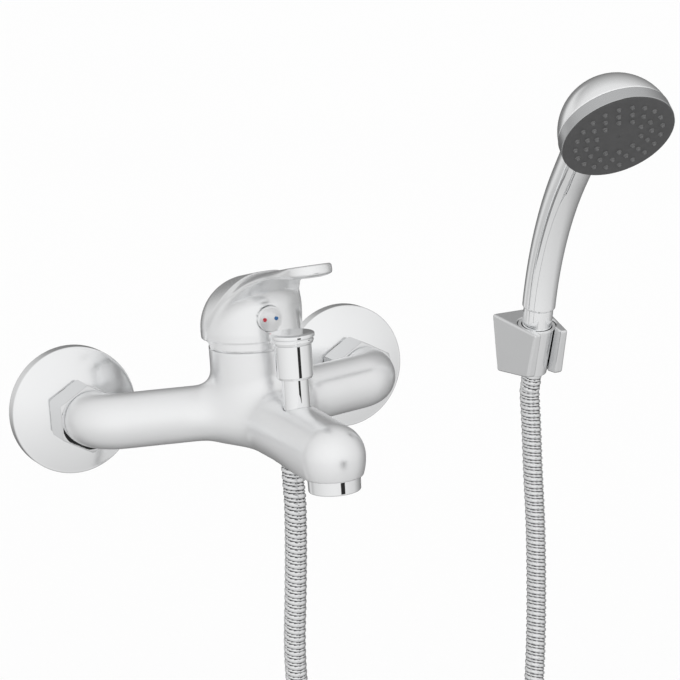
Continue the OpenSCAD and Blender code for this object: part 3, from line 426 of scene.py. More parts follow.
CHROME = (0.9, 0.905, 0.91)
FINISH = {
    "chrome_cast": plated("chrome_cast", CHROME, 0.27, metal=0.9),
    "chrome_trim": plated("chrome_trim", CHROME, 0.16),
    # The union nuts' chrome is darker than the other chrome: painted shade standing in for the darker reflections
    # on the nut
    "chrome_nut": plated("chrome_nut", (0.74, 0.745, 0.75), 0.04),
    "plated_brass": brushed_metal("plated_brass", (0.74, 0.72, 0.68), 0.28),
    "seal_rubber": moulded("seal_rubber", (0.03, 0.03, 0.032), 0.6),
    "cartridge_plastic": moulded("cartridge_plastic", (0.72, 0.73, 0.72), 0.42),
    "ceramic_disc": moulded("ceramic_disc", (0.86, 0.84, 0.78), 0.25, relief=0.03),
    "steel": brushed_metal("steel", (0.62, 0.62, 0.61), 0.24),
    "chrome_lever": plated("chrome_lever", CHROME, 0.23, metal=0.94),
    "hot_red": enamel("hot_red", (0.55, 0.012, 0.03)),
    "cold_blue": enamel("cold_blue", (0.02, 0.14, 0.38)),
    "chrome_knob": plated("chrome_knob", CHROME, 0.03, spread=0.02),
    "chrome_aerator": plated("chrome_aerator", CHROME, 0.03, spread=0.02),
    "aerator_plastic": moulded("aerator_plastic", (0.55, 0.56, 0.57), 0.4),
    "hose_fitting": plated("hose_fitting", (0.84, 0.845, 0.85), 0.05),
    "hose_steel": plated("hose_steel", (0.8, 0.805, 0.81), 0.06),
    # Near-black finish for the hose's grooves: painted shade standing in for the shadow deep in the wound strip
    "hose_groove_painted_shade": brushed_metal("hose_groove_painted_shade", (0.1, 0.1, 0.102), 0.3),
    "tie_plastic": moulded("tie_plastic", (0.04, 0.04, 0.042), 0.5),
    "handset_chrome": plated("handset_chrome", (0.95, 0.955, 0.96), 0.03, spread=0.02, metal=0.98),
    "ring_silver": satin_silver("ring_silver", (0.5, 0.505, 0.51), 0.2),
    "plate_grey": moulded("plate_grey", (0.07, 0.07, 0.071), 0.5),
    "nozzle_rubber": moulded("nozzle_rubber", (0.17, 0.17, 0.172), 0.45),
    "bracket_grey": satin_silver("bracket_grey", (0.8, 0.805, 0.81), 0.2),
}


def dress_cad_nodes():
    """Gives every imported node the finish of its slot."""
    for part in frame["record"]["subparts"]:
        node = NODES[part["node"]]
        finish = FINISH[part["material_slot"]]
        if not node.data.materials:
            node.data.materials.append(finish)
        for slot in node.material_slots:
            slot.material = finish


dress_cad_nodes()


# Hose: from the mixer down to the coil of its slack, and from the coil up to the handset

HOSE_R = 5.5
RIB_PITCH = 4.0
RIB_RINGS = 14
HOSE_SIDES = 24
GROOVE_DEPTH = 0.8
# Beads of the wound strip: middle and half width, as shares of one turn
BROAD_BEAD = (0.26, 0.27)
NARROW_BEAD = (0.76, 0.14)
NARROW_RISE = 0.7
BEAD_POWER = 4
# Share of the groove's depth from which the strip counts as groove and takes the dark material, painted shade in
# the grooves
PAINTED_SHADE_FROM = 0.8
MIXER_ROUTE = [
    (0, -106, -19), (0, -106, -30), (0, -106, -41), (0, -103, -62), (0, -98, -88), (0, -92, -118),
    (3, -85, -148), (10, -76, -178), (20, -68, -208), (29, -62, -236), (33, -58, -257), (33, -58, -268),
    (33, -58, -279),
]
RISE_ROUTE = [
    (183, -8.5, -48), (182, -9.5, -75), (181, -11, -105), (178, -14, -138), (173, -19, -170),
    (168, -22, -200), (162, -25, -230), (157, -27, -257), (157, -27, -268), (157, -27, -279),
]
HOSE_END_DEPTHS = (29.3, 35, 41)
COIL_CENTRE = np.array((95, -58, -290))
COIL_R = 62
COIL_PITCH = 12.4
COIL_TURNS = 2.5
COIL_STEPS = 48
# Rise of the line after the last turn
COIL_EXIT = 11


def socket_point(height):
    """Point on the bracket socket's axis, at a height along it."""
    return SOCKET + height * np.array((0, -math.sin(SOCKET_TILT), math.cos(SOCKET_TILT)))


def through(route, steps=12):
    """Smooth curve through a route's points."""
    points = np.array(route, float)
    ends = np.vstack([2 * points[0] - points[1], points, 2 * points[-1] - points[-2]])
    line = []
    for a, b, c, d in zip(ends, ends[1:], ends[2:], ends[3:]):
        for t in np.arange(steps) / steps:
            linear = (c - a) * t
            square = (2 * a - 5 * b + 4 * c - d) * t ** 2
            cube = (3 * b - a - 3 * c + d) * t ** 3
            line.append(0.5 * (2 * b + linear + square + cube))
    line.append(points[-1])
    return np.array(line)


def coil_line():
    """Turns of the coil, side by side."""
    turn = np.arange(int(COIL_TURNS * COIL_STEPS) + 1) / COIL_STEPS
    angle = 2 * math.pi * turn
    around = np.stack([-COIL_R * np.cos(angle), COIL_PITCH * turn, -COIL_R * np.sin(angle)], axis=1)
    return COIL_CENTRE + around


def along(line):
    """Length along a line up to each of its points."""
    return np.concatenate([[0], np.cumsum(np.linalg.norm(np.diff(line, axis=0), axis=1))])


def rib_radius(phase):
    """Radius over one turn of the wound strip: a broad bead, a narrow one and the grooves between them."""
    broad = np.clip(1 - np.abs((phase - BROAD_BEAD[0]) / BROAD_BEAD[1]) ** BEAD_POWER, 0, 1)
    narrow = np.clip(1 - np.abs((phase - NARROW_BEAD[0]) / NARROW_BEAD[1]) ** BEAD_POWER, 0, 1)
    return HOSE_R - GROOVE_DEPTH * (1 - np.maximum(broad, NARROW_RISE * narrow))


def vectors_across(middle):
    """Two vectors across a line at each of its points, carried along without twist."""
    heading = np.gradient(middle, axis=0)
    heading /= np.linalg.norm(heading, axis=1)[:, None]
    across = np.zeros_like(middle)
    across[0] = np.cross(heading[0], (0, 1, 0))
    across[0] /= np.linalg.norm(across[0])
    for k in range(1, len(middle)):
        across[k] = across[k - 1] - heading[k] * (across[k - 1] @ heading[k])
        across[k] /= np.linalg.norm(across[k])
    return across, np.cross(heading, across)


def tube_faces(rings, sides):
    """Faces of a tube of rings, with a cap at each end."""
    last = (rings - 1) * sides
    faces = []
    for low in range(0, last, sides):
        faces.extend(ring_faces(low, low + sides, sides))
    faces.append(range(sides)[::-1])
    faces.append(range(last, last + sides))
    return faces


def ribbed_tube(name, line):
    """Closed tube along a line, wound from a beaded strip, with a dark second material in its grooves as painted
    shade.
    """
    length = along(line)
    ribs = max(1, round(length[-1] / RIB_PITCH))
    turns = np.arange(ribs * RIB_RINGS + 1) / RIB_RINGS
    place = turns * length[-1] / ribs
    middle = np.stack([np.interp(place, length, line[:, n]) for n in range(3)], axis=1)
    across, third = vectors_across(middle)
    around = np.arange(HOSE_SIDES) / HOSE_SIDES
    angle = 2 * math.pi * around
    outward = np.cos(angle)[None, :, None] * across[:, None] + np.sin(angle)[None, :, None] * third[:, None]
    radius = rib_radius((turns[:, None] + around[None, :]) % 1)
    rings = middle[:, None] + radius[:, :, None] * outward
    hose = new_mesh_object(name, rings.reshape(-1, 3), tube_faces(len(middle), HOSE_SIDES))
    # Faces deep in a groove take the dark second material: painted shade
    face_phase = (turns[:-1, None] + 0.5 / RIB_RINGS + around[None, :] + 0.5 / HOSE_SIDES) % 1
    painted_shade_in_groove = rib_radius(face_phase) < HOSE_R - PAINTED_SHADE_FROM * GROOVE_DEPTH
    hose.data.polygons.foreach_set("material_index", [*painted_shade_in_groove.ravel().astype(int).tolist(), 0, 0])
    return hose


def make_hose():
    """The hose from the mixer with its coil, and the stretch that rises to the handset."""
    coil_exit = COIL_CENTRE + (COIL_R, COIL_PITCH * COIL_TURNS, COIL_EXIT)
    run = np.vstack([through(MIXER_ROUTE)[:-1], coil_line(), [coil_exit]])
    rise = through([socket_point(-d) for d in HOSE_END_DEPTHS] + RISE_ROUTE)[::-1]
    hose_run = ribbed_tube("hose_run", run)
    dress(hose_run, "fixed", "hose_steel", "hose_mixer_leg", "hose_coil")
    hose_rise = ribbed_tube("hose_rise", rise)
    dress(hose_rise, None, "hose_steel", "hose_handset_leg")
    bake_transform(hose_rise)
    # Second material, painted shade: darkens the faces deep in the hose's grooves
    for hose, line in ((hose_run, run), (hose_rise, rise)):
        hose.data.materials.append(FINISH["hose_groove_painted_shade"])


make_hose()


# Body: column, swept arms with elbows and spout, cast in one flow

COLUMN_R = 22.3
COLUMN_TOP = 33.4
COLUMN_BASE = -12.65
COLUMN_EDGE = 12.0
COLUMN_FILLET = 9.0
ARM_R = 13.75
ARM_ANGLE = math.radians(15)
ARM_Z = 0.7
ARM_ROOT_Y = -64.87
ARM_FILLET = 24.0
# Share of that fillet which goes where arm and spout face the same way
FILLET_LOSS = 0.9
ELBOW_R = 16.0
BODY_FACE_Y = -32.0
SPOUT_ROOT_R = 16.5
SPOUT_ROOT_Z = -2.5
NOSE_R = 15.5
NOSE_Z = -5.5
OUTLET_Z = -15.25
HOSE_Y = -106.0
# Shares of the spout's length: where its nose starts, how long it takes to form, and how long the root takes
NOSE_START = 0.45
NOSE_SPAN = 0.5
ROOT_SPAN = 0.26
# Stretch of the nose below its middle, and rounding of the floor's edge at the nose and more at the root
NOSE_STRETCH = 0.27
FLOOR_EDGE = 0.8
FLOOR_EDGE_MORE = 6.0
CUT_EDGE = 0.8
BORE_EDGE = 0.6
# Distance where a bend doesn't reach
FAR_OFF = 99.0
# Upright bores: place, radius, lowest and highest point
BORES = (
    (COLUMN_Y, 17.6, 5.5, 60.0),
    (DIVERTER_Y, 6.6, 5.0, 60.0),
    (DIVERTER_Y, 7.0, -10.8, -2.0),
    (DIVERTER_Y, 5.0, -12.0, 6.0),
    (AERATOR_Y, 11.1, -40.0, -7.2),
    (HOSE_Y, 8.1, -40.0, -11.8),
)


def arm_field(x, y, z):
    """Both arms: a straight run, an elbow towards the wall and a short end."""
    side = np.abs(x)
    end_y = ARM_ROOT_Y + INLET_X * math.tan(ARM_ANGLE)
    tangent = ELBOW_R * math.tan((math.pi / 2 - ARM_ANGLE) / 2)
    run = np.array((math.cos(ARM_ANGLE), math.sin(ARM_ANGLE)))
    run_length = INLET_X / math.cos(ARM_ANGLE) - tangent
    ahead = side * run[0] + (y - ARM_ROOT_Y) * run[1]
    beside = -side * run[1] + (y - ARM_ROOT_Y) * run[0]
    straight = np.hypot(beside, np.maximum(np.maximum(-ahead, ahead - run_length), 0))
    centre = (INLET_X - ELBOW_R, end_y + tangent)
    from_centre_x, from_centre_y = side - centre[0], y - centre[1]
    angle = np.arctan2(from_centre_y, from_centre_x)
    bend = np.abs(np.hypot(from_centre_x, from_centre_y) - ELBOW_R)
    bend = np.where((angle <= 0) & (angle >= ARM_ANGLE - math.pi / 2), bend, FAR_OFF)
    outlet = np.hypot(side - INLET_X, np.maximum(centre[1] - y, 0))
    flat = np.minimum(np.minimum(straight, bend), outlet)
    return np.hypot(flat, z - ARM_Z) - ARM_R


def column_field(x, y, z):
    """Upright column with a rounded foot."""
    out = np.hypot(x, y - COLUMN_Y) - (COLUMN_R - COLUMN_EDGE)
    down = COLUMN_BASE + COLUMN_EDGE - z
    outside = np.hypot(np.maximum(out, 0), np.maximum(down, 0))
    return outside + np.minimum(np.maximum(out, down), 0) - COLUMN_EDGE


def spout_field(x, y, z):
    """Spout that tapers to a ball nose, with steeper sides at the aerator."""
    share = np.clip((COLUMN_Y - y) / (COLUMN_Y - AERATOR_Y), 0, 1)
    nose = ease((share - NOSE_START) / NOSE_SPAN)
    radius = SPOUT_ROOT_R + (NOSE_R - SPOUT_ROOT_R) * share
    over = z - (SPOUT_ROOT_Z + (NOSE_Z - SPOUT_ROOT_Z) * share)
    over = np.maximum(over, 0) + np.minimum(over, 0) * (1 - NOSE_STRETCH * nose)
    past = np.maximum(AERATOR_Y - y, 0) + np.maximum(y - COLUMN_Y, 0)
    taper = np.sqrt(x ** 2 + past ** 2 + over ** 2) - radius
    root = ease(share / ROOT_SPAN)
    root_floor = COLUMN_BASE + (SPOUT_ROOT_Z - SPOUT_ROOT_R - COLUMN_BASE) * root
    floor_z = root_floor + (OUTLET_Z - root_floor) * nose
    return smooth_max(taper, floor_z - z, FLOOR_EDGE + FLOOR_EDGE_MORE * (1 - nose))


def body_field(x, y, z):
    """The casting with its cartridge, diverter, aerator and hose bores."""
    arm = arm_field(x, y, z)
    arm_rise = (z - ARM_Z) / np.maximum(arm + ARM_R, 0.1)
    spout_rise = (z - SPOUT_ROOT_Z) / np.maximum(np.hypot(x, z - SPOUT_ROOT_Z), 0.1)
    fillet = ARM_FILLET * (1 - FILLET_LOSS * np.clip(arm_rise * spout_rise, 0, 1))
    solid = smooth_min(arm, spout_field(x, y, z), fillet)
    solid = smooth_min(solid, column_field(x, y, z), COLUMN_FILLET)
    solid = smooth_max(solid, z - COLUMN_TOP, CUT_EDGE)
    solid = smooth_max(solid, y - BODY_FACE_Y, CUT_EDGE)
    hollow = np.inf
    for place, radius, low, high in BORES:
        hollow = np.minimum(hollow, upright(x, y - place, z, radius, low, high))
    return smooth_max(solid, -hollow, BORE_EDGE)


def make_body():
    """The body casting."""
    low, high = box_mm("mixer_body")
    piece = net_mesh("body_casting", body_field, low - 3, high + 3, step=0.8)
    dress(piece, "fixed", "chrome_cast", "mixer_body")


make_body()


# Lever: domed cap with a broad blade that sweeps down its sides

LEVER_R = 24.4
LEVER_H = 35.5
LEVER_REACH = 86.0
TIP_RISE = 51.5
TIP_T = 5.25
TIP_W = 22.0
TIP_EDGE = 1.3
# Hood over the dome's wall: its step, the rounding of its edge and its fillet onto the wall
HOOD_STEP = 0.6
HOOD_EDGE = 3.0
HOOD_FILLET = 5.0
# The wall under the hood leans in from this height on, at the front only
WALL_UPRIGHT = 11.0
WALL_LEAN = 0.09
FRONT_START = 4.0
FRONT_SPAN = 10.0
# Field value of a place well inside
WELL_INSIDE = -6.0
LEVER_EDGE = 0.6
CAVITY_R = 22.84
CAVITY_EDGE = 0.5
POST_R = 7.5
POST_FOOT = 11.0
POST_HEADROOM = 8.0
SKIRT_FRONT = 3.0
SKIRT_REAR = 7.5
SKIRT_STEP_Y = -2.0
BAND_TOP = 7.1
BAND_STEP = 0.3
INDEX_RISE = 18.5
INDEX_R = 6.3
INDEX_DEPTH = 2.5
INDEX_EDGE = 0.4
# Lower edge of the blade seen from the side: place along Y from the column, and height over the pivot
BLADE_EDGE = [
    (-95, 47.6), (-70, 45.6), (-50, 42.6), (-34, 37.6), (-24, 32.2), (-14, 24.5), (-6, 14), (0, 2), (6, -20),
]
# Steps that close in on the nearest disc of the blade
REFINE_STEPS = (0.06, 0.02, 0.006)


def blade_hull(x, y, z):
    """Least distance to the run of rounded discs from the dome's ball to the blade's tip."""
    slope = math.atan((TIP_RISE - LEVER_H) / LEVER_REACH)
    dome = (0.0, LEVER_H - LEVER_R)
    tip = (
        -LEVER_REACH + TIP_W / 2 + TIP_T / 2 * math.sin(slope),
        TIP_RISE - TIP_T + TIP_T / 2 * math.cos(slope),
    )

    def gap(share):
        """Distance to the disc at a share of the way."""
        ahead = y - (dome[0] + share * (tip[0] - dome[0]))
        over = z - (dome[1] + share * (tip[1] - dome[1]))
        forward = over * math.sin(slope) - ahead * math.cos(slope)
        lift = over * math.cos(slope) + ahead * math.sin(slope)
        out = np.maximum(np.hypot(x, forward) - share * (TIP_W / 2 - TIP_EDGE), 0)
        lift = np.maximum(np.abs(lift) - share * (TIP_T / 2 - TIP_EDGE), 0)
        return np.hypot(out, lift) - (LEVER_R + share * (TIP_EDGE - LEVER_R))

    samples = np.linspace(0, 1, 9)
    least = gap(samples[0])
    best = np.zeros_like(least)
    for share in samples[1:]:
        value = gap(share)
        best = np.where(value < least, share, best)
        least = np.minimum(value, least)
    for reach in REFINE_STEPS:
        before, here, after = gap(best - reach), gap(best), gap(best + reach)
        curve = np.maximum(before - 2 * here + after, 1e-6)
        move = np.clip(0.5 * (before - after) / curve, -1.5, 1.5)
        best = np.clip(best + move * reach, 0, 1)
    return gap(best)


def lever_field(x, y, z):
    """The lever about its pivot: y ahead of the column is negative."""
    y = y - COLUMN_Y
    z = z - PIVOT_Z
    edge = np.array(BLADE_EDGE)
    edge_line = through(np.column_stack([edge[:, 0], edge[:, 1], np.zeros(len(edge))]), 8)
    edge_height = np.interp(y, edge_line[:, 0], edge_line[:, 1])
    slope = np.interp(y, edge_line[:, 0], np.gradient(edge_line[:, 1], edge_line[:, 0]))
    below_edge = (edge_height - z) / np.sqrt(1 + slope ** 2)
    hull = blade_hull(x, y, z)
    hood = smooth_max(hull, below_edge, HOOD_EDGE)
    band = BAND_STEP * np.clip((BAND_TOP + BAND_STEP - z) / (2 * BAND_STEP), 0, 1)
    lean = WALL_LEAN * np.maximum(z - WALL_UPRIGHT, 0)
    front = ease((FRONT_START - y) / FRONT_SPAN)
    wall = np.hypot(x, y) - (LEVER_R - (HOOD_STEP + lean) * front - band)
    roof = np.where(z > LEVER_H - LEVER_R, hull, WELL_INSIDE)
    solid = smooth_min(hood, smooth_max(wall, roof, LEVER_EDGE), HOOD_FILLET)
    skirt = np.where(y > SKIRT_STEP_Y, SKIRT_REAR, SKIRT_FRONT) - z
    solid = smooth_max(solid, skirt, LEVER_EDGE)
    solid = smooth_max(solid, CAVITY_R - np.sqrt(x ** 2 + y ** 2 + z ** 2), CAVITY_EDGE)
    solid = np.minimum(solid, upright(x, y, z, POST_R, POST_FOOT, LEVER_H - POST_HEADROOM))
    index = np.maximum(np.hypot(x, z - INDEX_RISE) - INDEX_R, y + LEVER_R - INDEX_DEPTH)
    return smooth_max(solid, -index, INDEX_EDGE)


def make_lever():
    """The lever and its index plug."""
    low, high = box_mm("lever")
    piece = net_mesh("lever_handle", lever_field, low - 3, high + 3, step=0.7)
    dress(piece, "lever", "chrome_lever", "lever")
    plug_low, plug_high = box_mm("index_plug")
    depth = plug_high[1] - plug_low[1]
    radius = (plug_high[0] - plug_low[0]) / 2
    face = Matrix.Translation((0, plug_high[1], PIVOT_Z + INDEX_RISE))
    place = face @ Matrix.Rotation(math.pi / 2, 4, "X")
    plug = turned("index_button", rounded([
        (0.01, 0, 0), (radius, 0, 0.2), (radius, depth, 0.5), (0.01, depth, 0),
    ]), place, 64)
    dress(plug, "lever", "chrome_lever", "index_plug")


make_lever()


# Turned chrome pieces

def facing_wall(side):
    """Place of a turned piece on an inlet, +Z away from the wall."""
    return Matrix.Translation((side * INLET_X, 0, 0)) @ Matrix.Rotation(math.pi / 2, 4, "X")


def upright_at(y, z):
    """Place of a turned piece on an upright axis."""
    return Matrix.Translation((0, y, z))


ROSE_R = 32.5
ROSE_H = 12.5
ROSE_BAND = 6.5
ROSE_HOLE_R = 13.6
ROSE_WALL = 1.2
ROSE_EDGE = 0.9


def make_rose(side, name):
    """Wall rose: a straight rim, a soft edge and a shallow dome."""
    rise = ROSE_H - ROSE_BAND
    ball = (ROSE_R ** 2 + rise ** 2) / (2 * rise)
    face = [
        (r, ROSE_H - ball + math.sqrt(ball ** 2 - r ** 2))
        for r in np.linspace(ROSE_R - ROSE_EDGE, ROSE_HOLE_R, 24)
    ]
    edge = [
        (ROSE_R - ROSE_EDGE * (1 - math.cos(a)), face[0][1] - ROSE_EDGE * (1 - math.sin(a)))
        for a in np.linspace(0, math.pi / 2, 7)
    ]
    rim = [
        (ROSE_R - ROSE_WALL, 0), (ROSE_R - 0.15, 0), (ROSE_R, 0.15), (ROSE_R, 0.4),
        (ROSE_R, edge[0][1] - 0.2),
    ]
    inner = [(r, z - ROSE_WALL) for r, z in face[::-1] if r < ROSE_R - ROSE_WALL]
    rose = turned(f"{name}_rose_cover", rim + edge + face[1:] + inner, facing_wall(side), 160)
    dress(rose, "fixed", "chrome_trim", f"{name}_wall_rose")


NUT_AF = 30.0
NUT_L = 18.0
NUT_BACK = 13.5
NUT_BORE = 10.3
NUT_THREAD_R = 13.3
NUT_THREAD_L = 13.0
NUT_EDGE = 0.3
NUT_CORNER = 0.5
NUT_END_EDGE = 0.4
# Chamfer: its depth at the corners, and its slope as shares outwards and endwards
CHAMFER = 1.6
CHAMFER_OUT = 0.5
CHAMFER_END = 0.87


def make_nut(side, name):
    """Hexagon union nut with turned chamfers."""
    place = facing_wall(side) @ Matrix.Translation((0, 0, NUT_BACK))
    corner = NUT_AF / 2 / math.cos(math.pi / 6)

    def nut_field(x, y, z):
        """Hexagon, cut by a chamfer cone at each end."""
        angles = np.radians((0, 60, 120))
        flats = [np.abs(x * math.cos(a) + y * math.sin(a)) - NUT_AF / 2 for a in angles]
        solid = smooth_max(smooth_max(flats[0], flats[1], NUT_CORNER), flats[2], NUT_CORNER)
        out = np.hypot(x, y)
        for end in (-z, z - NUT_L):
            cone = CHAMFER_OUT * (out - corner + CHAMFER) + CHAMFER_END * end
            solid = smooth_max(solid, end, NUT_END_EDGE)
            solid = smooth_max(solid, cone, NUT_EDGE)
        solid = smooth_max(solid, NUT_BORE - out, NUT_EDGE)
        thread = np.maximum(out - NUT_THREAD_R, z - NUT_THREAD_L)
        return np.maximum(solid, -thread)

    reach = corner + 2
    low = (-reach, -reach, -2)
    high = (reach, reach, NUT_L + 2)
    nut = net_mesh(f"{name}_hex_nut", nut_field, low, high, 0.5, place)
    dress(nut, "fixed", "chrome_nut", f"{name}_union_nut")


KNOB_Z = 25.0
KNOB_H = 22.0
KNOB_R = 9.0
KNOB_LIP_R = 10.85
KNOB_LIP_H = 5.0
SLEEVE_R = 6.5
SLEEVE_TOP = 40.0
SLEEVE_BOTTOM = 6.0
SLEEVE_GAP = 0.3
KNOB_BORE_L = 16.0
STEM_BORE = 3.1


def make_diverter():
    """Pull knob with its beaded lip, over the guide sleeve."""
    lip = KNOB_H - KNOB_LIP_H
    knob = turned("diverter_pull_knob", rounded([
        (SLEEVE_R + SLEEVE_GAP, 0, 0.2), (KNOB_R - 0.5, 0, 0.3), (KNOB_R, 1.2, 0.4),
        (KNOB_R, lip - 0.6, 0.2), (KNOB_LIP_R - 0.9, lip, 0.4), (KNOB_LIP_R - 0.5, lip + 1.3, 0.6),
        (KNOB_LIP_R - 1.2, lip + 2.3, 0.4),
        (KNOB_LIP_R, lip + 2.9, 0.5), (KNOB_LIP_R, KNOB_H - 0.5, 0.7), (KNOB_LIP_R - 2.2, KNOB_H, 0.8),
        (0.01, KNOB_H, 0), (0.01, KNOB_BORE_L, 0), (SLEEVE_R + SLEEVE_GAP, KNOB_BORE_L, 0.2),
    ]), upright_at(DIVERTER_Y, KNOB_Z), 128)
    dress(knob, "diverter", "chrome_knob", "diverter_knob")
    sleeve = turned("diverter_guide", rounded([
        (STEM_BORE, SLEEVE_BOTTOM, 0.2), (SLEEVE_R, SLEEVE_BOTTOM, 0.2), (SLEEVE_R, SLEEVE_TOP, 0.4),
        (STEM_BORE, SLEEVE_TOP, 0.2),
    ]), upright_at(DIVERTER_Y, 0), 96)
    dress(sleeve, "fixed", "chrome_knob", "diverter_sleeve")


CAP_R = 22.44
CAP_WALL = 1.6
CAP_OPENING_R = 16.7
CAP_FOOT = 2.5


def make_cap():
    """Ball-shaped cap under the lever."""
    outer = np.linspace(math.asin(CAP_FOOT / CAP_R), math.acos(CAP_OPENING_R / CAP_R), 20)
    inner_r = CAP_R - CAP_WALL
    inner = np.linspace(math.acos(CAP_OPENING_R / inner_r), math.asin(CAP_FOOT / inner_r), 20)
    outline = [(CAP_R * math.cos(a), CAP_R * math.sin(a)) for a in outer]
    outline += [(inner_r * math.cos(a), inner_r * math.sin(a)) for a in inner]
    cap = turned("cap_ball", outline, upright_at(COLUMN_Y, PIVOT_Z), 128)
    dress(cap, "fixed", "chrome_trim", "cover_cap")


AERATOR_R = 12.5
AERATOR_H = 6.5
AERATOR_THREAD_R = 11.0
AERATOR_THREAD_L = 6.5
AERATOR_WALL = 1.5


def make_aerator():
    """Aerator ring with a rolled lower edge."""
    bottom = OUTLET_Z - AERATOR_H
    top = OUTLET_Z + AERATOR_THREAD_L
    inner = AERATOR_THREAD_R - AERATOR_WALL
    ring = turned("aerator_ring", rounded([
        (inner, bottom, 0.4), (AERATOR_R - 0.2, bottom, 0.7), (AERATOR_R, OUTLET_Z, 0.2),
        (AERATOR_THREAD_R, OUTLET_Z, 0.1), (AERATOR_THREAD_R, top, 0.3), (inner, top, 0.3),
    ]), upright_at(AERATOR_Y, 0), 128)
    dress(ring, "fixed", "chrome_aerator", "aerator_housing")


for inlet_side, inlet_name in ((-1, "left"), (1, "right")):
    make_rose(inlet_side, inlet_name)
    make_nut(inlet_side, inlet_name)
make_diverter()
make_cap()
make_aerator()


# Handset

HANDSET_PLACE = (
    Matrix.Translation(SOCKET)
    @ Matrix.Rotation(SOCKET_TILT, 4, "X")
    @ Matrix.Rotation(HANDSET_TURN, 4, "Z")
)
HANDLE_START = 12.0
HANDLE_BEND_R = 187.0
HANDLE_BEND = math.radians(27)
HANDLE_FOOT_R = 8.9
HANDLE_HEAD_R = 10.0
HANDLE_END_L = 40.0
HANDLE_FLARE = 1.6
HANDLE_FOOT_EDGE = 0.9
HANDLE_END_EDGE = 2.0
FOOT_R = 8.0
FOOT_BOTTOM = -12.0
HEAD_R = 29.25
HEAD_DEPTH = 33.0
HEAD_FILLET = 9.0
SHELL_INSET = 0.5
SHELL_EDGE = 0.8
# The shell is cut off at the ring as far out as this from the head's rim
CUT_REACH = 8.0
RING_H = 7.5
RING_WALL = 1.9
RING_GAP = 0.9
HEAD_AHEAD = 59.0
HEAD_FRONT = 24.4
BEND_SIN = math.sin(HANDLE_BEND)
BEND_COS = math.cos(HANDLE_BEND)
# Where the bend ends, and the middle of the spray face
BEND_END_Y = -HANDLE_BEND_R * (1 - BEND_COS)
BEND_END_Z = HANDLE_START + HANDLE_BEND_R * BEND_SIN
HEAD_PLACE = np.array((
    0,
    BEND_END_Y - HEAD_AHEAD * BEND_SIN - HEAD_FRONT * BEND_COS,
    BEND_END_Z + HEAD_AHEAD * BEND_COS - HEAD_FRONT * BEND_SIN,
))
FACE_TURN = Matrix.Rotation(math.pi / 2 + HANDLE_BEND, 4, "X")
FACE_PLACE = HANDSET_PLACE @ Matrix.Translation(HEAD_PLACE) @ FACE_TURN


def handle_field(x, y, z):
    """Bent, slightly widening handle."""
    arc_length = HANDLE_BEND_R * HANDLE_BEND
    angle = np.arctan2(z - HANDLE_START, y + HANDLE_BEND_R)
    bent = np.hypot(z - HANDLE_START, y + HANDLE_BEND_R) - HANDLE_BEND_R
    past = -(y - BEND_END_Y) * BEND_SIN + (z - BEND_END_Z) * BEND_COS
    beside = (y - BEND_END_Y) * BEND_COS + (z - BEND_END_Z) * BEND_SIN
    straight = angle > HANDLE_BEND
    place = np.where(straight, arc_length + past, HANDLE_BEND_R * angle)
    off = np.where(straight, beside, bent)
    share = np.clip(place / (arc_length + HANDLE_END_L), 0, 1)
    radius = HANDLE_FOOT_R + (HANDLE_HEAD_R - HANDLE_FOOT_R) * share ** HANDLE_FLARE
    tube = smooth_max(np.hypot(x, off) - radius, -place, HANDLE_FOOT_EDGE)
    return smooth_max(tube, place - arc_length - HANDLE_END_L, HANDLE_END_EDGE)


def shell_field(x, y, z):
    """Handle, foot and domed back of the head, in one moulding."""
    crown_h = HEAD_DEPTH - RING_H
    shell_r = HEAD_R - SHELL_INSET
    crown_r = (shell_r ** 2 + crown_h ** 2) / (2 * crown_h)
    face = np.array(FACE_TURN.to_3x3())
    apart = [x - HEAD_PLACE[0], y - HEAD_PLACE[1], z - HEAD_PLACE[2]]
    over = sum(face[n, 2] * apart[n] for n in range(3))
    middle = crown_r - HEAD_DEPTH
    from_middle = [apart[n] - face[n, 2] * middle for n in range(3)]
    dome = np.sqrt(sum(v ** 2 for v in from_middle)) - crown_r
    aside = np.sqrt(np.maximum(sum(v ** 2 for v in apart) - over ** 2, 0))
    solid = smooth_min(handle_field(x, y, z), dome, HEAD_FILLET)
    solid = smooth_max(solid, np.minimum(over + RING_H, HEAD_R + CUT_REACH - aside), SHELL_EDGE)
    foot = upright(x, y, z, FOOT_R, FOOT_BOTTOM, HANDLE_START + 2)
    return np.minimum(solid, foot)


def join(pieces, name):
    """Joins meshes into the first one."""
    with bpy.context.temp_override(
        active_object=pieces[0], object=pieces[0], selected_objects=pieces, selected_editable_objects=pieces
    ):
        bpy.ops.object.join()
    pieces[0].name = name
    pieces[0].data.name = name


NOZZLE_RINGS = ((20, 22.5), (15, 17.0), (10, 12.0))
NOZZLE_R = 0.95
NOZZLE_H = 1.2
PLATE_R = HEAD_R - 2.0
LIP_R = HEAD_R - 0.15
PLATE_T = 3.0
DISH_DEPTH = 0.35
NIB_ROOT = -4.4
# Conical nut of the hose
CONE_L = 27.0
CONE_TOP_R = 10.2
CONE_FOOT_R = 7.8
CONE_BORE_R = 8.4
CONE_BORE_L = 14.0
NUT_HOLE_R = 5.75


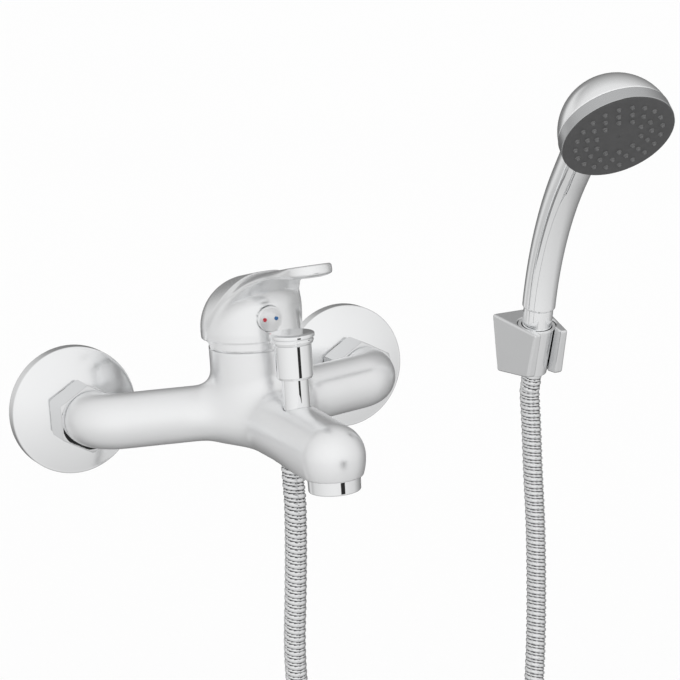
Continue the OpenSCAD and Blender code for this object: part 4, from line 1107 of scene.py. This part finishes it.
def make_spray_face():
    """Shallow dished plate with a soft nib at each spray hole."""
    dish = [(r, -DISH_DEPTH * (1 - (r / PLATE_R) ** 2)) for r in np.linspace(PLATE_R - 0.4, 0.01, 16)]
    plate = turned("spray_disc", [
        (0.01, -PLATE_T), (PLATE_R, -PLATE_T), (PLATE_R, -PLATE_T + 0.1), (PLATE_R, -0.95),
        (PLATE_R + 0.1, -0.85), (LIP_R - 0.2, -0.85), (LIP_R, -0.7), (LIP_R - 0.1, -0.3),
        (LIP_R - 0.4, -0.06), (LIP_R - 0.8, 0),
        (PLATE_R + 0.2, 0), (PLATE_R, -0.02),
    ] + dish, FACE_PLACE, 128)
    dress(plate, "handset", "plate_grey", "spray_plate")
    nib = [
        (0.01, NIB_ROOT), (NOZZLE_R + 0.35, NIB_ROOT), (NOZZLE_R + 0.35, -0.3), (NOZZLE_R + 0.3, -0.05),
        (NOZZLE_R, 0.2), (NOZZLE_R - 0.05, 0.5), (NOZZLE_R - 0.15, NOZZLE_H - 0.3),
        (NOZZLE_R - 0.4, NOZZLE_H - 0.02),
        (0.45, NOZZLE_H), (0.36, NOZZLE_H - 0.06), (0.34, NOZZLE_H - 0.4), (0.01, NOZZLE_H - 0.42),
    ]
    nibs = []
    for number, (count, radius) in enumerate(NOZZLE_RINGS):
        for k in range(count):
            angle = 2 * math.pi * (k + 0.5 * (number % 2)) / count
            place = FACE_PLACE @ Matrix.Translation((radius * math.cos(angle), radius * math.sin(angle), 0))
            nibs.append(turned("nib", nib, place, 16))
    join(nibs, "spray_nibs")
    dress(nibs[0], "handset", "nozzle_rubber", "spray_nozzles")


def make_handset():
    """Shell, ring, spray plate, soft nozzles and hose nut."""
    low = (-HEAD_R - 3, HEAD_PLACE[1] - HEAD_R - 3, FOOT_BOTTOM - 3)
    high = (HEAD_R + 3, HANDLE_FOOT_R + 8, HEAD_PLACE[2] + HEAD_R + 4)
    shell = net_mesh("handset_body", shell_field, low, high, 0.9, HANDSET_PLACE)
    dress(shell, "handset", "handset_chrome", "handset_shell")
    ring = turned("head_rim", rounded([
        (HEAD_R - RING_WALL, -RING_H, 0.2), (HEAD_R - 0.2, -RING_H, 0.5), (HEAD_R, -RING_GAP - 0.3, 0.3),
        (HEAD_R - 0.4, -RING_GAP, 0.1), (HEAD_R - RING_WALL, -RING_GAP, 0.2),
    ]), FACE_PLACE, 160)
    dress(ring, "handset", "ring_silver", "head_ring")
    make_spray_face()
    nut = turned("hose_cone_nut", rounded([
        (NUT_HOLE_R, -CONE_L, 0.2), (CONE_FOOT_R, -CONE_L, 0.5), (CONE_TOP_R, 0, 0.2), (CONE_TOP_R, 1, 0.3),
        (CONE_BORE_R, 1, 0.2), (CONE_BORE_R, -CONE_BORE_L, 0.2), (NUT_HOLE_R, -CONE_BORE_L - 2.5, 0.2),
    ]), HANDSET_PLACE, 96)
    dress(nut, "handset", "hose_fitting", "hose_nut")


make_handset()


# Wall bracket: tapered block with soft edges, a conical seat and a slot for the hose

BRACKET_TOP = 14.0
BRACKET_BOTTOM = -18.0
BRACKET_DEPTH = 37.0
BRACKET_FOOT_DEPTH = 27.0
BRACKET_FALL = math.radians(11)
BRACKET_W = 16.0
BRACKET_FOOT_W = 15.0
BRACKET_FRONT_W = 12.0
BRACKET_FRONT_FOOT_W = 10.75
BRACKET_EDGE = 1.4
SLOT_W = 12.0
SEAT_TOP_R = 10.5
SEAT_FOOT_R = 8.1
SEAT_L = 27.0
SEAT_FILLET = 0.6
SEAT_EDGE = 1.0
SCREW_LEVELS = (-3, 7)
SCREW_R = 2.25
SCREW_EDGE = 0.3


def bracket_planes():
    """Outward unit normals and offsets of the block's faces, from its corners."""
    front_z = BRACKET_TOP - BRACKET_DEPTH * math.tan(BRACKET_FALL)
    mirror = np.array((-1, 1, 1))
    middle = np.array((0, -BRACKET_DEPTH / 2, 0))
    foot_back = np.array((BRACKET_FOOT_W, 0, BRACKET_BOTTOM))
    top_back = np.array((BRACKET_W, 0, BRACKET_TOP))
    foot_front = np.array((BRACKET_FRONT_FOOT_W, -BRACKET_FOOT_DEPTH, BRACKET_BOTTOM))
    top_front = np.array((BRACKET_FRONT_W, -BRACKET_DEPTH, front_z))
    rings = [
        (foot_back, top_back, foot_front), (foot_back * mirror, top_back * mirror, foot_front * mirror),
        (foot_back, top_back, top_back * mirror), (foot_front, top_front, top_front * mirror),
        (top_back, top_front, top_front * mirror), (foot_back, foot_front, foot_front * mirror),
    ]
    planes = []
    for a, b, c in rings:
        normal = np.cross(b - a, c - a)
        normal /= np.linalg.norm(normal)
        if normal @ (middle - a) > 0:
            normal = -normal
        planes.append((normal, normal @ a))
    return planes


def bracket_field(x, y, z):
    """The block less its seat and slot."""
    x = x - SOCKET[0]
    sides = [n[0] * x + n[1] * y + n[2] * z - offset for n, offset in bracket_planes()]
    solid = sides[0]
    for side in sides[1:]:
        solid = smooth_max(solid, side, BRACKET_EDGE)
    ahead = (y - SOCKET[1]) * math.cos(SOCKET_TILT) + (z - SOCKET[2]) * math.sin(SOCKET_TILT)
    over = (z - SOCKET[2]) * math.cos(SOCKET_TILT) - (y - SOCKET[1]) * math.sin(SOCKET_TILT)
    share = np.clip(-over / SEAT_L, 0, 1)
    seat = np.hypot(x, ahead) - (SEAT_TOP_R + (SEAT_FOOT_R - SEAT_TOP_R) * share)
    slot = np.maximum(np.abs(x) - SLOT_W / 2, ahead)
    solid = smooth_max(solid, -smooth_min(seat, slot, SEAT_FILLET), SEAT_EDGE)
    for level in SCREW_LEVELS:
        solid = smooth_max(solid, SCREW_R - np.hypot(x, z - level), SCREW_EDGE)
    return solid


def make_bracket():
    """The wall bracket."""
    low, high = box_mm("wall_bracket")
    piece = net_mesh("bracket_block", bracket_field, low - 2, high + 2, step=0.5)
    dress(piece, "fixed", "bracket_grey", "wall_bracket")


make_bracket()


# Studio: white surroundings that shade to grey behind, a dark flag that metal mirrors, and a pale floor

FLOOR_Z = -0.362
FLOOR_HALF = 20.0
# From the object towards the camera
TOWARD_VIEWER = (-0.393, -0.896, 0.205)
# Light that metal sees, as (straight behind the object, straight before it) of two ramps: the lesser counts
REAR_RAMP = (0.16, 1.6)
FRONT_RAMP = (0.6, 1.0)
# Windows of (axis, lowest, highest) on the direction's unit vector: a dark flag stands beside the camera,
# and a soft fill behind on the left
FLAG = (((0.973, 0.229, 0), -0.155, 0.155), ((0.229, -0.973, 0), 0.3, 2), ((0, 0, 1), -0.36, -0.16))
FLAG_LIGHT = 0.03
FLAG_SOFT = 0.02
FILL = (
    (TOWARD_VIEWER, -0.75, -0.3), ((0, 1, 0), 0.65, 2), ((1, 0, 0), -0.6, 0.1), ((0, 0, 1), -0.55, 0.5),
)
FILL_LIGHT = 0.76
FILL_SOFT = 0.12
# Share of the light that metal sees straight below
DOWN_LIGHT = 0.8


class WorldNodes:
    """Small helper that adds linked number nodes to a node tree."""

    def __init__(self, tree):
        self.tree = tree
        self.direction = tree.nodes.new("ShaderNodeTexCoord").outputs["Generated"]

    def along(self, axis):
        """How far the direction points along an axis."""
        node = self.tree.nodes.new("ShaderNodeVectorMath")
        node.operation = "DOT_PRODUCT"
        node.inputs[1].default_value = axis
        self.tree.links.new(self.direction, node.inputs[0])
        return node.outputs["Value"]

    def ramp(self, value, start, end, low, high, shape="SMOOTHSTEP"):
        """Number that goes from low to high as the value goes from start to end."""
        node = self.tree.nodes.new("ShaderNodeMapRange")
        node.interpolation_type = shape
        for name, number in zip(("From Min", "From Max", "To Min", "To Max"), (start, end, low, high)):
            node.inputs[name].default_value = number
        self.tree.links.new(value, node.inputs["Value"])
        return node.outputs["Result"]

    def join(self, operation, first, second):
        """Two numbers joined by an operation."""
        node = self.tree.nodes.new("ShaderNodeMath")
        node.operation = operation
        self.tree.links.new(first, node.inputs[0])
        self.tree.links.new(second, node.inputs[1])
        return node.outputs["Value"]

    def panel(self, light, windows, soft, level):
        """Light with a panel of another level where the direction lies in all the windows."""
        covered = None
        for axis, low, high in windows:
            value = self.along(axis)
            inside = self.join(
                "MULTIPLY",
                self.ramp(value, low - soft, low + soft, 0, 1),
                self.ramp(value, high - soft, high + soft, 1, 0),
            )
            covered = inside if covered is None else self.join("MULTIPLY", covered, inside)
        mix = self.tree.nodes.new("ShaderNodeMix")
        mix.inputs["B"].default_value = level
        self.tree.links.new(covered, mix.inputs["Factor"])
        self.tree.links.new(light, mix.inputs["A"])
        return mix.outputs["Result"]


def make_world():
    """White world; metal sees it shade to grey behind the object, with the flag."""
    world = bpy.data.worlds.new("studio")
    bpy.context.scene.world = world
    world.use_nodes = True
    tree = world.node_tree
    tree.nodes.clear()
    build = WorldNodes(tree)
    toward = build.along(TOWARD_VIEWER)
    rear, front = (build.ramp(toward, -1, 1, low, high, "LINEAR") for low, high in (REAR_RAMP, FRONT_RAMP))
    light = build.panel(build.join("MINIMUM", rear, front), FILL, FILL_SOFT, FILL_LIGHT)
    below = build.ramp(build.along((0, 0, 1)), -1, 0, DOWN_LIGHT, 1, "LINEAR")
    light = build.join("MULTIPLY", light, below)
    light = build.panel(light, FLAG, FLAG_SOFT, FLAG_LIGHT)
    metal = tree.nodes.new("ShaderNodeBackground")
    white = tree.nodes.new("ShaderNodeBackground")
    white.inputs["Color"].default_value = (1, 1, 1, 1)
    rays = tree.nodes.new("ShaderNodeLightPath")
    mix = tree.nodes.new("ShaderNodeMixShader")
    output = tree.nodes.new("ShaderNodeOutputWorld")
    tree.links.new(light, metal.inputs["Color"])
    tree.links.new(rays.outputs["Is Glossy Ray"], mix.inputs["Fac"])
    tree.links.new(white.outputs["Background"], mix.inputs[1])
    tree.links.new(metal.outputs["Background"], mix.inputs[2])
    tree.links.new(mix.outputs["Shader"], output.inputs["Surface"])


def make_floor():
    """Pale floor below the hose, which keeps the object's soft shadow."""
    half = FLOOR_HALF / MM
    points = [(x * half, y * half, FLOOR_Z / MM) for x, y in ((-1, -1), (1, -1), (1, 1), (-1, 1))]
    floor = new_mesh_object("floor", points, [(0, 1, 2, 3)])
    material, surface = shader("floor_white", Roughness=0.9, Specular_IOR_Level=0.0)
    tint(material, surface, add_noise(material, scale=0.5), (0.985, 0.985, 0.985), (0.99, 0.99, 0.99))
    floor.data.materials.append(material)
    floor.visible_glossy = False


make_world()
make_floor()
bpy.context.scene.view_settings.view_transform = "Standard"
